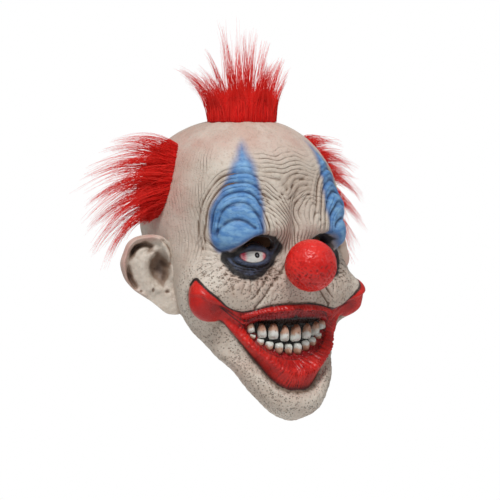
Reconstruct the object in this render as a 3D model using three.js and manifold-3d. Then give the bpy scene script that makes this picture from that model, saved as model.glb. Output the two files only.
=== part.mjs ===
// Clown mask worn over the whole head: one cast latex shell with its ears, ball nose, lips and teeth,
// and three tufts of long fur glued to the crown and above the ears.
// Millimetres, +Z up. The face looks along -Y and the wearer's right side is -X.
// The origin is the crown seat, where the top of the wearer's head meets the inside of the shell.
import * as THREE from "three";
import { mergeVertices } from "three/addons/utils/BufferGeometryUtils.js";
import Module from "manifold-3d";

// Driving sizes
const HALF_WIDTH = 88; // midline to the side of the head
const FACE_DEPTH = 100; // ear line to the general front of the face
const BACK_DEPTH = 107; // ear line to the back of the head
const FACE_HEIGHT = 280; // hat line to the hem under the chin
const SIDE_HEIGHT = 192; // hat line to the hem under the ear
const BACK_HEIGHT = 150; // hat line to the hem at the nape
const CROWN_HEIGHT = 4.5; // top of the crown above the hat line
const WALL = 2; // latex thickness
const NOSE_RADIUS = 24;
const NOSE_SINK = 7.5; // how far the ball stands in the face
const NOSE_THROAT = 15.6; // radius of the nose's way into the hollow for the head
const EAR_HEIGHT = 75;
const EAR_THICKNESS = 5;
const EYE_HALF_WIDTH = 14.5; // false eye, corner to middle
const EYE_HALF_HEIGHT = 8;
const UPPER_TOOTH = 15; // longest upper tooth
const LOWER_TOOTH = 12; // longest lower tooth
const TUFT_RADIUS = 33; // fur patch on the crown
const TUFT_PILE = 24; // dense part of the crown's fur
const TUFT_LOCK = 82; // longest lock of the crown's fur
const SIDE_TUFT_HEIGHT = 76;
const SIDE_TUFT_WIDTH = 50;
const SIDE_TUFT_PILE = 22;
const SIDE_TUFT_LOCK = 66;
const GLUE_GAP = 0.3; // between the fur's backing and the shell

// Places on the head are chart places: across in 92nds of a radian round the head from the midline,
// down in 280ths of the face height from the hat line. Relief is in hundredths of the face depth.
const CHART_ACROSS = 92;
const CHART_DOWN = 280;
const RELIEF_UNIT = FACE_DEPTH / 100;

// One row for each closed ring round the head, as shares of the named sizes: how far it reaches and how
// low it lies at the front, side and back, how far forward its ear line is, and how pointed its chin.
const RINGS = [
  { front: 0, frontLow: 0, side: 0, sideLow: 0,
    back: 0, backLow: 0, ears: 0.02, chin: 0, steps: 1 },
  { front: 0.32, frontLow: 0.004, side: 0.36, sideLow: 0.006,
    back: 0.36, backLow: 0.004, ears: -0.02, chin: 0, steps: 1 },
  { front: 0.58, frontLow: 0.058, side: 0.67, sideLow: 0.073,
    back: 0.68, backLow: 0.095, ears: -0.02, chin: 0, steps: 2 },
  { front: 0.8, frontLow: 0.145, side: 0.875, sideLow: 0.193,
    back: 0.92, backLow: 0.26, ears: -0.02, chin: 0, steps: 3 },
  { front: 0.89, frontLow: 0.255, side: 0.98, sideLow: 0.339,
    back: 1, backLow: 0.47, ears: -0.02, chin: 0, steps: 4 },
  { front: 0.9, frontLow: 0.355, side: 1, sideLow: 0.474,
    back: 0.99, backLow: 0.64, ears: -0.01, chin: 0, steps: 6 },
  { front: 0.85, frontLow: 0.44, side: 0.99, sideLow: 0.594,
    back: 0.93, backLow: 0.76, ears: 0, chin: 0, steps: 5 },
  { front: 0.87, frontLow: 0.535, side: 0.965, sideLow: 0.719,
    back: 0.87, backLow: 0.845, ears: 0.03, chin: 0, steps: 5 },
  { front: 0.87, frontLow: 0.64, side: 0.935, sideLow: 0.812,
    back: 0.81, backLow: 0.9, ears: 0.07, chin: 0, steps: 6 },
  { front: 0.85, frontLow: 0.74, side: 0.9, sideLow: 0.89,
    back: 0.77, backLow: 0.94, ears: 0.11, chin: 0.04, steps: 6 },
  { front: 0.87, frontLow: 0.835, side: 0.865, sideLow: 0.943,
    back: 0.745, backLow: 0.965, ears: 0.15, chin: 0.08, steps: 4 },
  { front: 0.96, frontLow: 0.915, side: 0.83, sideLow: 0.98,
    back: 0.73, backLow: 0.985, ears: 0.18, chin: 0.13, steps: 1 },
  { front: 0.94, frontLow: 0.97, side: 0.795, sideLow: 1.005,
    back: 0.72, backLow: 1, ears: 0.2, chin: 0.15, steps: 1 },
  { front: 0.82, frontLow: 0.99, side: 0.75, sideLow: 1.01,
    back: 0.71, backLow: 1.01, ears: 0.21, chin: 0.15, steps: 1 },
];
const RING_FULLNESS = 0.08; // how much squarer than an ellipse a ring is
const HEAD_COLUMNS = 50; // faces round the head
const MIDLINE_ROUND = 3; // chart units over which the two halves of the face meet

// Broad bumps and hollows: place and radii in chart units, tilt in degrees, relief, and how blunt.
const BUMPS = [
  { across: 62, down: 82, wide: 24, high: 12, tilt: -8, relief: 6, blunt: 1.3 }, // brow roll
  { across: 0, down: 90, wide: 7, high: 26, tilt: 0, relief: -8, blunt: 1 }, // crease between the brows
  { across: 20, down: 92, wide: 11, high: 22, tilt: 12, relief: 3.5, blunt: 1.2 }, // inner brow
  { across: 0, down: 134, wide: 15, high: 19, tilt: 0, relief: 9, blunt: 1.5 }, // under the ball nose
  { across: 14, down: 152, wide: 13, high: 14, tilt: 0, relief: 4, blunt: 1.2 }, // side of the nose
  { across: 95, down: 158, wide: 30, high: 33, tilt: 0, relief: 14.5, blunt: 1.6 }, // cheek
  { across: 86, down: 165, wide: 11.5, high: 18.5, tilt: 12, relief: 12.5, blunt: 2.2 }, // red cheek ball
  { across: 0, down: 260, wide: 27, high: 12, tilt: 0, relief: 5, blunt: 1.2 }, // chin
  { across: 66, down: 224, wide: 20, high: 18, tilt: 35, relief: -4, blunt: 1 }, // hollow over the jaw
  { across: 106, down: 104, wide: 18, high: 26, tilt: 0, relief: -3, blunt: 1 }, // temple
];
const CHEEK_APPLE = { across: 60, down: 160, wide: 24, high: 21, relief: 7, blunt: 1.3 };
const BROW_PAD = { across: 60, down: 106, wide: 22, high: 14, relief: 10, blunt: 1.4 };
const INNER_PAD = { across: 30, down: 98, wide: 16, high: 10, relief: 4, blunt: 1.4 };
const EYE = { across: 44.5, down: 124.3 };
const SOCKET = { across: 43.5, down: 123.3, wide: 29, high: 19, relief: -7.5, blunt: 2 };
const EYE_MOUND = { across: 47.5, down: 129.3, wide: 22, high: 13, relief: 6, blunt: 1.5 };
const EYE_DEPTH = 0.7; // thickness of the false eye, share of its half height

// Lower edge of the brow, which overhangs the eye.
const BROW_EDGE = [
  { across: 8, down: 116 },
  { across: 16, down: 109 },
  { across: 24, down: 104.5 },
  { across: 34, down: 103.5 },
  { across: 44, down: 106 },
  { across: 52, down: 111 },
  { across: 60, down: 116 },
  { across: 70, down: 120 },
  { across: 80, down: 120.5 },
  { across: 92, down: 112 },
];

const BROW_SOFTENS = 0.05; // how fast the overhang softens beyond the eye, per chart unit

// The grin: outer and inner edges of the upper and lower lip, from the midline to the cheek.
const MOUTH = [
  { across: 0, upperOuter: 169.5, upperInner: 187.5, lowerInner: 219, lowerOuter: 247.5 },
  { across: 14, upperOuter: 169.5, upperInner: 187, lowerInner: 217.5, lowerOuter: 245 },
  { across: 28, upperOuter: 171, upperInner: 186.5, lowerInner: 211.5, lowerOuter: 235 },
  { across: 42, upperOuter: 173.5, upperInner: 185.5, lowerInner: 203, lowerOuter: 221 },
  { across: 53, upperOuter: 175.5, upperInner: 189, lowerInner: 193, lowerOuter: 210 },
  { across: 60, upperOuter: 175.3, upperInner: 188.5, lowerInner: 188.5, lowerOuter: 203 },
  { across: 68, upperOuter: 172, upperInner: 182.5, lowerInner: 182.5, lowerOuter: 195 },
  { across: 76, upperOuter: 165, upperInner: 175.5, lowerInner: 175.5, lowerOuter: 187 },
  { across: 84, upperOuter: 158, upperInner: 170, lowerInner: 170, lowerOuter: 183 },
];
const MOUTH_END = 77; // where the lips run out into the cheek ball
const LIP_UPPER = [
  { share: 0, relief: 0 },
  { share: 0.15, relief: 3 },
  { share: 0.35, relief: 4.5 },
  { share: 0.55, relief: 1 },
  { share: 0.8, relief: 0 },
  { share: 1, relief: -4 },
  { share: 1.15, relief: -6.5 },
];
const LIP_LOWER = [
  { share: 0, relief: -1 },
  { share: 0.1, relief: 3 },
  { share: 0.3, relief: 9 },
  { share: 0.5, relief: 9.5 },
  { share: 0.75, relief: 5 },
  { share: 0.92, relief: 0 },
  { share: 1.1, relief: -6.5 },
];
const LIP_GROOVE = { below: 3.5, wide: 4.5, relief: -4.5 };

// See-through slit between the brow and the false eye.
const SLIT = [
  { across: 54.5, down: 115 },
  { across: 47.5, down: 110 },
  { across: 38.5, down: 107.5 },
  { across: 30, down: 108.5 },
  { across: 23.5, down: 112.5 },
  { across: 22, down: 118 },
  { across: 27, down: 119.5 },
  { across: 32.5, down: 116.8 },
  { across: 38.5, down: 114.8 },
  { across: 45, down: 114 },
  { across: 51.4, down: 115.6 },
];

// Teeth from the wearer's right to left: chart place of the middle, width in chart units, share of the
// longest tooth, and lean in degrees.
const UPPER_TEETH = [
  { across: -47, down: 191, wide: 7, tall: 0.62, lean: 8 },
  { across: -34.5, down: 194, wide: 8, tall: 0.86, lean: 4 },
  { across: -21.5, down: 194.5, wide: 9, tall: 0.97, lean: 2 },
  { across: -8, down: 197, wide: 8, tall: 0.93, lean: 0 },
  { across: 6.5, down: 197, wide: 10, tall: 1, lean: -3 },
  { across: 22, down: 196, wide: 8.5, tall: 0.92, lean: -8 },
  { across: 35.5, down: 194, wide: 8, tall: 0.84, lean: -6 },
  { across: 47, down: 191, wide: 7, tall: 0.62, lean: -8 },
];
const LOWER_TEETH = [
  { across: -45, down: 199.5, wide: 6, tall: 0.42, lean: -14 },
  { across: -36, down: 205, wide: 7, tall: 0.65, lean: -10 },
  { across: -26, down: 208.5, wide: 8, tall: 0.78, lean: -6 },
  { across: -14.5, down: 211, wide: 8, tall: 0.95, lean: -2 },
  { across: -3, down: 212, wide: 7, tall: 0.93, lean: 0 },
  { across: 9, down: 212, wide: 8, tall: 1, lean: 2 },
  { across: 20.5, down: 209.5, wide: 7.5, tall: 0.9, lean: 6 },
  { across: 31, down: 206.5, wide: 7.5, tall: 0.8, lean: 10 },
  { across: 41.5, down: 201.5, wide: 6.5, tall: 0.6, lean: 14 },
];
const TOOTH_DEPTH = 4.5; // how far a tooth stands out of the gum
const TOOTH_OUTLINE = [
  { x: 0.5, y: 1 },
  { x: 0.95, y: 0.6 },
  { x: 0.95, y: -0.7 },
  { x: 0.6, y: -1 },
  { x: -0.6, y: -1 },
  { x: -0.95, y: -0.7 },
  { x: -0.95, y: 0.6 },
  { x: -0.5, y: 1 },
];

// Ear: place of its middle, how far its flap turns back, and its outline in shares of its height.
const EAR_ACROSS = 136;
const EAR_DROP = 0.719; // share of the side height
const EAR_OUT = 14; // middle of the ear from the side of the head
const EAR_SWING = 23; // degrees that the flap turns back from straight out
const EAR_OUTLINE = [
  { out: -0.08, up: 0.4 },
  { out: 0.02, up: 0.43 },
  { out: 0.15, up: 0.43 },
  { out: 0.28, up: 0.4 },
  { out: 0.37, up: 0.33 },
  { out: 0.42, up: 0.22 },
  { out: 0.46, up: 0.09 },
  { out: 0.44, up: -0.03 },
  { out: 0.39, up: -0.14 },
  { out: 0.29, up: -0.25 },
  { out: 0.19, up: -0.32 },
  { out: 0.08, up: -0.39 },
  { out: -0.01, up: -0.46 },
  { out: -0.11, up: -0.54 },
  { out: -0.18, up: -0.56 },
  { out: -0.27, up: -0.56 },
  { out: -0.34, up: -0.52 },
  { out: -0.37, up: -0.4 },
  { out: -0.33, up: -0.2 },
  { out: -0.24, up: 0.1 },
  { out: -0.18, up: 0.3 },
];
const EAR_RIM = 0.045; // height of the rolled rim, share of the ear's height
const EAR_BOWL = { out: -0.1, up: 0.02, wide: 0.14, high: 0.2, deep: 0.1 };

// Locks of the crown tuft: root as a share of the patch, lean of the tip sideways and back, length share.
const CROWN_LOCKS = [
  { x: -0.7, y: -0.15, leanX: -0.85, leanY: 0.05, long: 0.74, thick: 9 },
  { x: -0.62, y: 0.4, leanX: -0.5, leanY: 0.35, long: 0.78, thick: 10 },
  { x: -0.45, y: -0.5, leanX: -0.4, leanY: -0.3, long: 0.8, thick: 10 },
  { x: -0.2, y: 0.0, leanX: -0.05, leanY: 0.0, long: 1.0, thick: 11 },
  { x: -0.1, y: 0.66, leanX: -0.15, leanY: 0.45, long: 0.8, thick: 10 },
  { x: 0.05, y: -0.66, leanX: 0.05, leanY: -0.4, long: 0.86, thick: 10 },
  { x: 0.25, y: 0.15, leanX: 0.2, leanY: 0.05, long: 0.9, thick: 11 },
  { x: 0.5, y: -0.42, leanX: 0.42, leanY: -0.25, long: 0.85, thick: 10 },
  { x: 0.5, y: 0.52, leanX: 0.42, leanY: 0.35, long: 0.82, thick: 10 },
  { x: 0.74, y: 0.05, leanX: 0.55, leanY: 0.0, long: 0.78, thick: 9 },
];
// Locks of a side tuft: root across and up in shares of the patch, turn of the tip back and up.
const SIDE_LOCKS = [
  { x: -0.1, y: 0.66, back: 0.45, rise: 0.5, long: 0.95, thick: 10 },
  { x: 0.4, y: 0.5, back: 0.7, rise: 0.3, long: 0.95, thick: 10 },
  { x: -0.4, y: 0.3, back: 0.3, rise: 0.15, long: 1.0, thick: 10 },
  { x: 0.35, y: 0.1, back: 0.65, rise: -0.1, long: 1.0, thick: 11 },
  { x: -0.4, y: -0.1, back: 0.3, rise: -0.3, long: 1.0, thick: 10 },
  { x: 0.4, y: -0.35, back: 0.6, rise: -0.5, long: 0.95, thick: 10 },
  { x: -0.2, y: -0.5, back: 0.3, rise: -0.7, long: 0.95, thick: 9 },
  { x: 0.1, y: -0.72, back: 0.45, rise: -0.95, long: 0.85, thick: 8 },
];
const SIDE_TUFT_ACROSS = 163;
const SIDE_TUFT_DOWN = 58;

const wasm = await Module();
wasm.setup();

const LATEX = { color: 0xcdbfae, roughness: 0.55, metalness: 0 };
const FUR = { color: 0xc8161b, roughness: 0.7, metalness: 0 };

// Small numeric helpers
function smooth(from, to, x) {
  const t = Math.min(1, Math.max(0, (x - from) / (to - from)));
  return t * t * (3 - 2 * t);
}

function fuller(x) {
  return x * (1 + RING_FULLNESS * (1 - x * x));
}

// Catmull-Rom through a column of RINGS at a fractional row. Over the pole a radius changes its sign.
function ringValue(column, row) {
  const last = RINGS.length - 1;
  const i = Math.min(last - 1, Math.floor(row));
  const f = row - i;
  const b = RINGS[i][column];
  const c = RINGS[i + 1][column];
  const beyond = ["front", "side", "back"].includes(column) ? -c : c;
  const a = i > 0 ? RINGS[i - 1][column] : beyond;
  const d = i < last - 1 ? RINGS[i + 2][column] : 2 * c - b;
  const bend = (2 * a - 5 * b + 4 * c - d) * f * f + (3 * b - a - 3 * c + d) * f ** 3;
  return 0.5 * (2 * b + (c - a) * f + bend);
}

// A smooth curve through the rows of a table, with flat ends.
function tableValue(rows, key, value, x) {
  if (x <= rows[0][key]) return rows[0][value];
  const i = rows.findIndex((r) => r[key] > x) - 1;
  if (i < 0) return rows[rows.length - 1][value];
  const [a, b] = [rows[i], rows[i + 1]];
  const before = rows[i - 1] ?? a;
  const after = rows[i + 2] ?? b;
  const gap = b[key] - a[key];
  const startSlope = ((b[value] - before[value]) / (b[key] - before[key])) * gap;
  const endSlope = ((after[value] - a[value]) / (after[key] - a[key])) * gap;
  const f = (x - a[key]) / gap;
  const rise = b[value] - a[value];
  const bend = 3 * rise - 2 * startSlope - endSlope + (startSlope + endSlope - 2 * rise) * f;
  return a[value] + startSlope * f + bend * f * f;
}

function hill(bump, across, down) {
  const u = (across - bump.across) / bump.wide;
  const v = (down - bump.down) / bump.high;
  return bump.relief * Math.exp(-((u * u + v * v) ** bump.blunt));
}

function tiltedHill(bump, across, down) {
  const turn = THREE.MathUtils.degToRad(bump.tilt);
  const u = across - bump.across;
  const v = down - bump.down;
  const turned = u * Math.cos(turn) + v * Math.sin(turn);
  const risen = v * Math.cos(turn) - u * Math.sin(turn);
  return hill(bump, bump.across + turned, bump.down + risen);
}

// The plain head without relief: angle 0 is the front and grows towards +X, row runs down RINGS.
function plainHead(angle, row) {
  const c = Math.cos(angle);
  const s = Math.sin(angle);
  const crown = CROWN_HEIGHT * smooth(1, 0, row);
  const earLine = -ringValue("ears", row) * FACE_DEPTH;
  const sideZ = crown - ringValue("sideLow", row) * SIDE_HEIGHT;
  const frontZ = crown - ringValue("frontLow", row) * FACE_HEIGHT;
  const backZ = crown - ringValue("backLow", row) * BACK_HEIGHT;
  const x = ringValue("side", row) * HALF_WIDTH * fuller(s);
  const end = c > 0 ? -ringValue("front", row) * FACE_DEPTH : ringValue("back", row) * BACK_DEPTH;
  const y = earLine + (end - earLine) * fuller(Math.abs(c));
  const chin = ringValue("chin", row) * FACE_HEIGHT * c ** 3 * (1 - c * c);
  const z = sideZ + ((frontZ - backZ) / 2) * c + ((frontZ + backZ) / 2 - sideZ) * c * c + chin;
  return new THREE.Vector3(x, y, z);
}

function plainNormal(angle, row) {
  const step = 1e-3;
  const round = plainHead(angle + step, row).sub(plainHead(angle - step, row));
  const low = Math.max(0.002, row - step);
  const down = plainHead(angle, low + step).sub(plainHead(angle, low));
  return down.cross(round).normalize();
}

function chartOf(point) {
  return {
    across: CHART_ACROSS * Math.atan2(point.x, -point.y),
    down: (-point.z / FACE_HEIGHT) * CHART_DOWN,
  };
}

// How far the sculpted face stands out from the plain head, in millimetres.
function relief(signedAcross, down) {
  const across = Math.hypot(signedAcross, MIDLINE_ROUND);
  let out = 0;
  for (const bump of BUMPS) {
    out += tiltedHill(bump, across, down);
  }
  const row = (key) => tableValue(MOUTH, "across", key, across);
  const [upperOuter, upperInner] = [row("upperOuter"), row("upperInner")];
  const [lowerInner, lowerOuter] = [row("lowerInner"), row("lowerOuter")];
  out += hill(CHEEK_APPLE, across, down) * smooth(2.5, -1.5, down - upperOuter);
  if (down > upperOuter && down < lowerOuter && across < MOUTH_END) {
    const upper = down < (upperInner + lowerInner) / 2;
    const share = upper
      ? (down - upperOuter) / Math.max(upperInner - upperOuter, 4)
      : (lowerOuter - down) / Math.max(lowerOuter - lowerInner, 4);
    const lip = tableValue(upper ? LIP_UPPER : LIP_LOWER, "share", "relief", share);
    const open = smooth(60, 44, across);
    out += lip * (lip < 0 ? 0.25 + 0.75 * open : 0.45 + 0.55 * open) * smooth(MOUTH_END, 60, across);
  }
  const groove = (down - lowerOuter - LIP_GROOVE.below) / LIP_GROOVE.wide;
  out += LIP_GROOVE.relief * Math.exp(-(groove ** 2)) * smooth(60, 20, across);
  const softer = BROW_SOFTENS * Math.max(0, across - EYE.across);
  const fromEdge = (down - tableValue(BROW_EDGE, "across", "down", across)) / (1 + softer);
  out += (hill(BROW_PAD, across, down) + hill(INNER_PAD, across, down)) * smooth(3.5, -3.5, fromEdge);
  out += hill(SOCKET, across, down) * smooth(-2.5, 3.5, fromEdge);
  out += hill(EYE_MOUND, across, down);
  return out * RELIEF_UNIT;
}

// A point of the sculpted surface, lifted off it by a distance.
function sculptedHead(angle, row, lift = 0) {
  const plain = plainHead(angle, row);
  const place = chartOf(plain);
  const normal = plainNormal(angle, row);
  return plain.addScaledVector(normal, relief(place.across, place.down) + lift);
}

// Angle and ring row of a chart place, by stepping towards it.
function locate(across, down) {
  let angle = across / CHART_ACROSS;
  let row = 5;
  for (let i = 0; i < 60; i++) {
    const here = chartOf(plainHead(angle, row));
    const lower = chartOf(plainHead(angle, Math.min(row + 0.05, RINGS.length - 1)));
    const slope = Math.max(20, (lower.down - here.down) / 0.05);
    angle += (0.7 * (across - here.across)) / CHART_ACROSS;
    row = Math.min(RINGS.length - 1, Math.max(0.05, row + (0.7 * (down - here.down)) / slope));
  }
  return { angle, row };
}

function placeOn(across, down, lift = 0) {
  const { angle, row } = locate(across, down);
  return { point: sculptedHead(angle, row, lift), normal: plainNormal(angle, row) };
}

// Solid from a stack of closed rings with a fan at each end. The two halves are split mirror-wise.
function stitch(rings, top, bottom) {
  const points = [top, ...rings.flat(), bottom];
  const n = rings[0].length;
  const at = (ring, i) => 1 + ring * n + ((i + n) % n);
  const faces = [];
  for (let i = 0; i < n; i++) {
    faces.push(0, at(0, i), at(0, i + 1));
    for (let r = 0; r + 1 < rings.length; r++) {
      const [a, b, c, d] = [at(r, i), at(r + 1, i), at(r + 1, i + 1), at(r, i + 1)];
      faces.push(...(i < n / 2 ? [a, b, c, a, c, d] : [a, b, d, b, c, d]));
    }
    faces.push(points.length - 1, at(rings.length - 1, i + 1), at(rings.length - 1, i));
  }
  const geometry = new THREE.BufferGeometry().setFromPoints(points);
  geometry.setIndex(faces);
  return solidOf(geometry);
}

function solidOf(geometry) {
  const plain = geometry.clone();
  plain.deleteAttribute("normal");
  plain.deleteAttribute("uv");
  const merged = mergeVertices(plain, 1e-4);
  const triVerts = new Uint32Array(merged.index.array);
  const vertProperties = new Float32Array(merged.attributes.position.array);
  const solid = new wasm.Manifold(new wasm.Mesh({ numProp: 3, vertProperties, triVerts }));
  if (solid.volume() > 0) return solid;
  triVerts.reverse();
  return new wasm.Manifold(new wasm.Mesh({ numProp: 3, vertProperties, triVerts }));
}

function geometryOf(solid) {
  const mesh = solid.getMesh();
  const geometry = new THREE.BufferGeometry();
  geometry.setAttribute("position", new THREE.BufferAttribute(mesh.vertProperties, 3));
  geometry.setIndex(new THREE.BufferAttribute(mesh.triVerts, 1));
  geometry.computeVertexNormals();
  return geometry;
}

// Angles round the head, closer together on the face.
function columnAngles(count) {
  return Array.from({ length: count }, (_, i) => {
    const u = (2 * (i + 0.5)) / count - 1;
    return Math.PI * (0.5 * u + 0.5 * u ** 3);
  });
}

function rowStops(density) {
  const stops = [];
  RINGS.slice(0, -1).forEach((ring, i) => {
    const steps = Math.max(1, Math.round(ring.steps * density));
    for (let k = 0; k < steps; k++) {
      if (i + k > 0) stops.push(i + k / steps);
    }
  });
  stops.push(RINGS.length - 1);
  return stops;
}

// The head's outside as a solid, grown by a distance.
function headSolid(columns, density, lift) {
  const angles = columnAngles(columns);
  const rings = rowStops(density).map((row) => angles.map((angle) => sculptedHead(angle, row, lift)));
  const top = plainHead(0, 0).setZ(CROWN_HEIGHT + lift);
  const hem = rings[rings.length - 1];
  const bottom = hem.reduce((sum, p) => sum.add(p), new THREE.Vector3()).divideScalar(hem.length);
  return stitch(rings, top, bottom);
}

// The space inside the shell: the least relief nearby, less the wall, and run out through the neck.
function cavitySolid() {
  const columns = 26;
  const probe = 5; // chart units
  const angles = columnAngles(columns);
  const stops = rowStops(0.34);
  const inner = (angle, row) => {
    const plain = plainHead(angle, row);
    const { across, down } = chartOf(plain);
    const near = [0, -probe, probe].flatMap((a) =>
      [0, -probe, probe].map((d) => relief(across + a, down + d)),
    );
    return plain.addScaledVector(plainNormal(angle, row), Math.min(...near) - WALL);
  };
  const rings = stops.map((row) => angles.map((angle) => inner(angle, row)));
  const hem = angles.map((angle) => plainHead(angle, RINGS.length - 1));
  const centre = hem.reduce((sum, p) => sum.add(p), new THREE.Vector3()).divideScalar(hem.length);
  const inset = hem.map((p) => {
    const towards = new THREE.Vector3(centre.x - p.x, centre.y - p.y, 0).normalize();
    return p.clone().addScaledVector(towards, WALL);
  });
  rings[rings.length - 1] = inset.map((p) => new THREE.Vector3(p.x, p.y, p.z + WALL));
  rings.push(inset.map((p) => new THREE.Vector3(p.x, p.y, p.z - FACE_HEIGHT * 0.1)));
  const top = new THREE.Vector3(0, 0, CROWN_HEIGHT - WALL);
  const bottom = centre.clone().setZ(centre.z - FACE_HEIGHT * 0.1);
  return stitch(rings, top, bottom);
}

// A see-through slit, cut along the face's outward direction. side is 1 for the wearer's left.
function slitSolid(side) {
  const matrix = facing(placeOn(side * EYE.across, EYE.down));
  const toFlat = matrix.clone().invert();
  const flat = SLIT.map((p) => {
    const seen = placeOn(side * p.across, p.down).point.applyMatrix4(toFlat);
    return new THREE.Vector2(seen.x, seen.y);
  });
  const reach = FACE_DEPTH * 0.3;
  const cut = new THREE.ExtrudeGeometry(new THREE.Shape(flat), { depth: 2 * reach, bevelEnabled: false });
  return solidOf(cut.translate(0, 0, -reach).applyMatrix4(matrix));
}

function noseCentre() {
  const { point } = placeOn(0, 134);
  return point.setY(point.y - (NOSE_RADIUS - NOSE_SINK));
}

function ball(centre, radius, around, down) {
  const geometry = new THREE.SphereGeometry(radius, around, down);
  return solidOf(geometry.translate(centre.x, centre.y, centre.z));
}

// The hollow of the nose, open to the inside of the head.
function noseHollow() {
  const centre = noseCentre();
  const hollow = ball(centre, NOSE_RADIUS - WALL, 12, 8);
  const throat = new THREE.CylinderGeometry(NOSE_THROAT, NOSE_THROAT, 2 * NOSE_RADIUS, 12);
  throat.translate(centre.x, centre.y + NOSE_RADIUS, centre.z);
  return hollow.add(solidOf(throat));
}

// Turns a form that faces +Z to face out of the head at a place, upright.
function facing(place) {
  const up = new THREE.Vector3(0, 0, 1);
  const forward = place.normal.clone().setZ(0).normalize();
  const sideways = up.clone().cross(forward);
  return new THREE.Matrix4().makeBasis(sideways, up, forward).setPosition(place.point);
}

// A tooth is a short eight-sided block with a smaller, crowned face.
function toothSolid(tooth, longest) {
  const tall = (tooth.tall * longest) / 2;
  const wide = (tooth.wide * HALF_WIDTH) / CHART_ACROSS / 2;
  const ring = (share, out) =>
    TOOTH_OUTLINE.map((p) => new THREE.Vector3(p.x * wide * share, p.y * tall * share, out * TOOTH_DEPTH));
  const rings = [ring(0.8, 1), ring(1, 0.45), ring(1, -1)];
  const turn = new THREE.Matrix4().makeRotationZ(THREE.MathUtils.degToRad(tooth.lean));
  const matrix = facing(placeOn(tooth.across, tooth.down)).multiply(turn);
  const points = rings.map((r) => r.map((p) => p.applyMatrix4(matrix)));
  const front = new THREE.Vector3(0, 0, 1.1 * TOOTH_DEPTH).applyMatrix4(matrix);
  const rear = new THREE.Vector3(0, 0, -TOOTH_DEPTH).applyMatrix4(matrix);
  return stitch(points, front, rear);
}

// The false eye that is cast under each slit.
function eyeSolid(side) {
  const place = placeOn(side * EYE.across, EYE.down, -EYE_HALF_HEIGHT * 0.15);
  const geometry = new THREE.SphereGeometry(1, 12, 8);
  geometry.scale(EYE_HALF_WIDTH, EYE_HALF_HEIGHT, EYE_HALF_HEIGHT * EYE_DEPTH);
  return solidOf(geometry.applyMatrix4(facing(place)));
}

// Relief of the ear's front at a point of the flap, in shares of its height; edge is 1 at the rim.
function earRelief(out, up, edge) {
  const rim = EAR_RIM * smooth(0.62, 0.86, edge) * smooth(1.05, 0.9, edge);
  const u = (out - EAR_BOWL.out) / EAR_BOWL.wide;
  const v = (up - EAR_BOWL.up) / EAR_BOWL.high;
  return rim - EAR_BOWL.deep * Math.exp(-((u * u + v * v) ** 1.5)) + 0.12 * Math.max(0, out) ** 1.5;
}

function earSolid(side) {
  const outline = new THREE.CatmullRomCurve3(
    EAR_OUTLINE.map((p) => new THREE.Vector3(p.out, p.up, 0)),
    true,
  ).getPoints(22);
  outline.pop();
  const down = (EAR_DROP * SIDE_HEIGHT * CHART_DOWN) / FACE_HEIGHT;
  const root = placeOn(side * EAR_ACROSS, down).point;
  const swing = THREE.MathUtils.degToRad(EAR_SWING);
  const outward = new THREE.Vector3(side * Math.cos(swing), Math.sin(swing), 0);
  const forward = new THREE.Vector3(side * Math.sin(swing), -Math.cos(swing), 0);
  const middle = root.clone().addScaledVector(outward, EAR_OUT);
  const shape = (edge, lift) =>
    outline.map((p) => {
      const [out, up] = [p.x * edge, p.y * edge];
      return middle
        .clone()
        .addScaledVector(outward, out * EAR_HEIGHT)
        .addScaledVector(forward, lift(out, up, edge))
        .setZ(middle.z + up * EAR_HEIGHT);
    });
  const front = (out, up, edge) => earRelief(out, up, edge) * EAR_HEIGHT;
  const behind = (out, up, edge) => front(out, up, edge) * 0.6 - EAR_THICKNESS * Math.sqrt(1.02 - edge ** 2);
  const rings = [0.22, 0.45, 0.65, 0.8, 0.9, 1].map((edge) => shape(edge, front));
  rings.push(...[0.9, 0.6, 0.3].map((edge) => shape(edge, behind)));
  const top = middle.clone().addScaledVector(forward, front(0, 0, 0));
  const bottom = middle.clone().addScaledVector(forward, behind(0, 0, 0));
  return stitch(rings, top, bottom);
}

function shellSolid() {
  let shell = headSolid(HEAD_COLUMNS, 1, 0);
  for (const side of [-1, 1]) {
    shell = shell.add(earSolid(side)).add(eyeSolid(side));
  }
  shell = shell.add(ball(noseCentre(), NOSE_RADIUS, 18, 12));
  for (const tooth of UPPER_TEETH) {
    shell = shell.add(toothSolid(tooth, UPPER_TOOTH));
  }
  for (const tooth of LOWER_TEETH) {
    shell = shell.add(toothSolid(tooth, LOWER_TOOTH));
  }
  shell = shell.subtract(cavitySolid()).subtract(noseHollow());
  for (const side of [-1, 1]) {
    shell = shell.subtract(slitSolid(side));
  }
  return shell;
}

// A tapering, bending lock from a root along a direction, drooping towards its tip.
function lockSolid(root, direction, droop, length, radius) {
  const along = direction.clone().normalize();
  const side = new THREE.Vector3(0, 1, 0).cross(along).normalize();
  const across = along.clone().cross(side);
  const steps = 4;
  const sides = 4;
  const centre = (t) =>
    root
      .clone()
      .addScaledVector(along, length * t)
      .addScaledVector(droop, length * t * t);
  const rings = [];
  for (let k = 0; k < steps; k++) {
    const t = k / steps;
    const r = radius * (1 - t) ** 0.8;
    rings.push(
      Array.from({ length: sides }, (_, i) => {
        const a = (2 * Math.PI * i) / sides;
        return centre(t)
          .addScaledVector(side, r * Math.cos(a))
          .addScaledVector(across, r * Math.sin(a));
      }),
    );
  }
  return stitch(rings, root.clone().addScaledVector(along, -radius * 0.3), centre(1));
}

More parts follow.
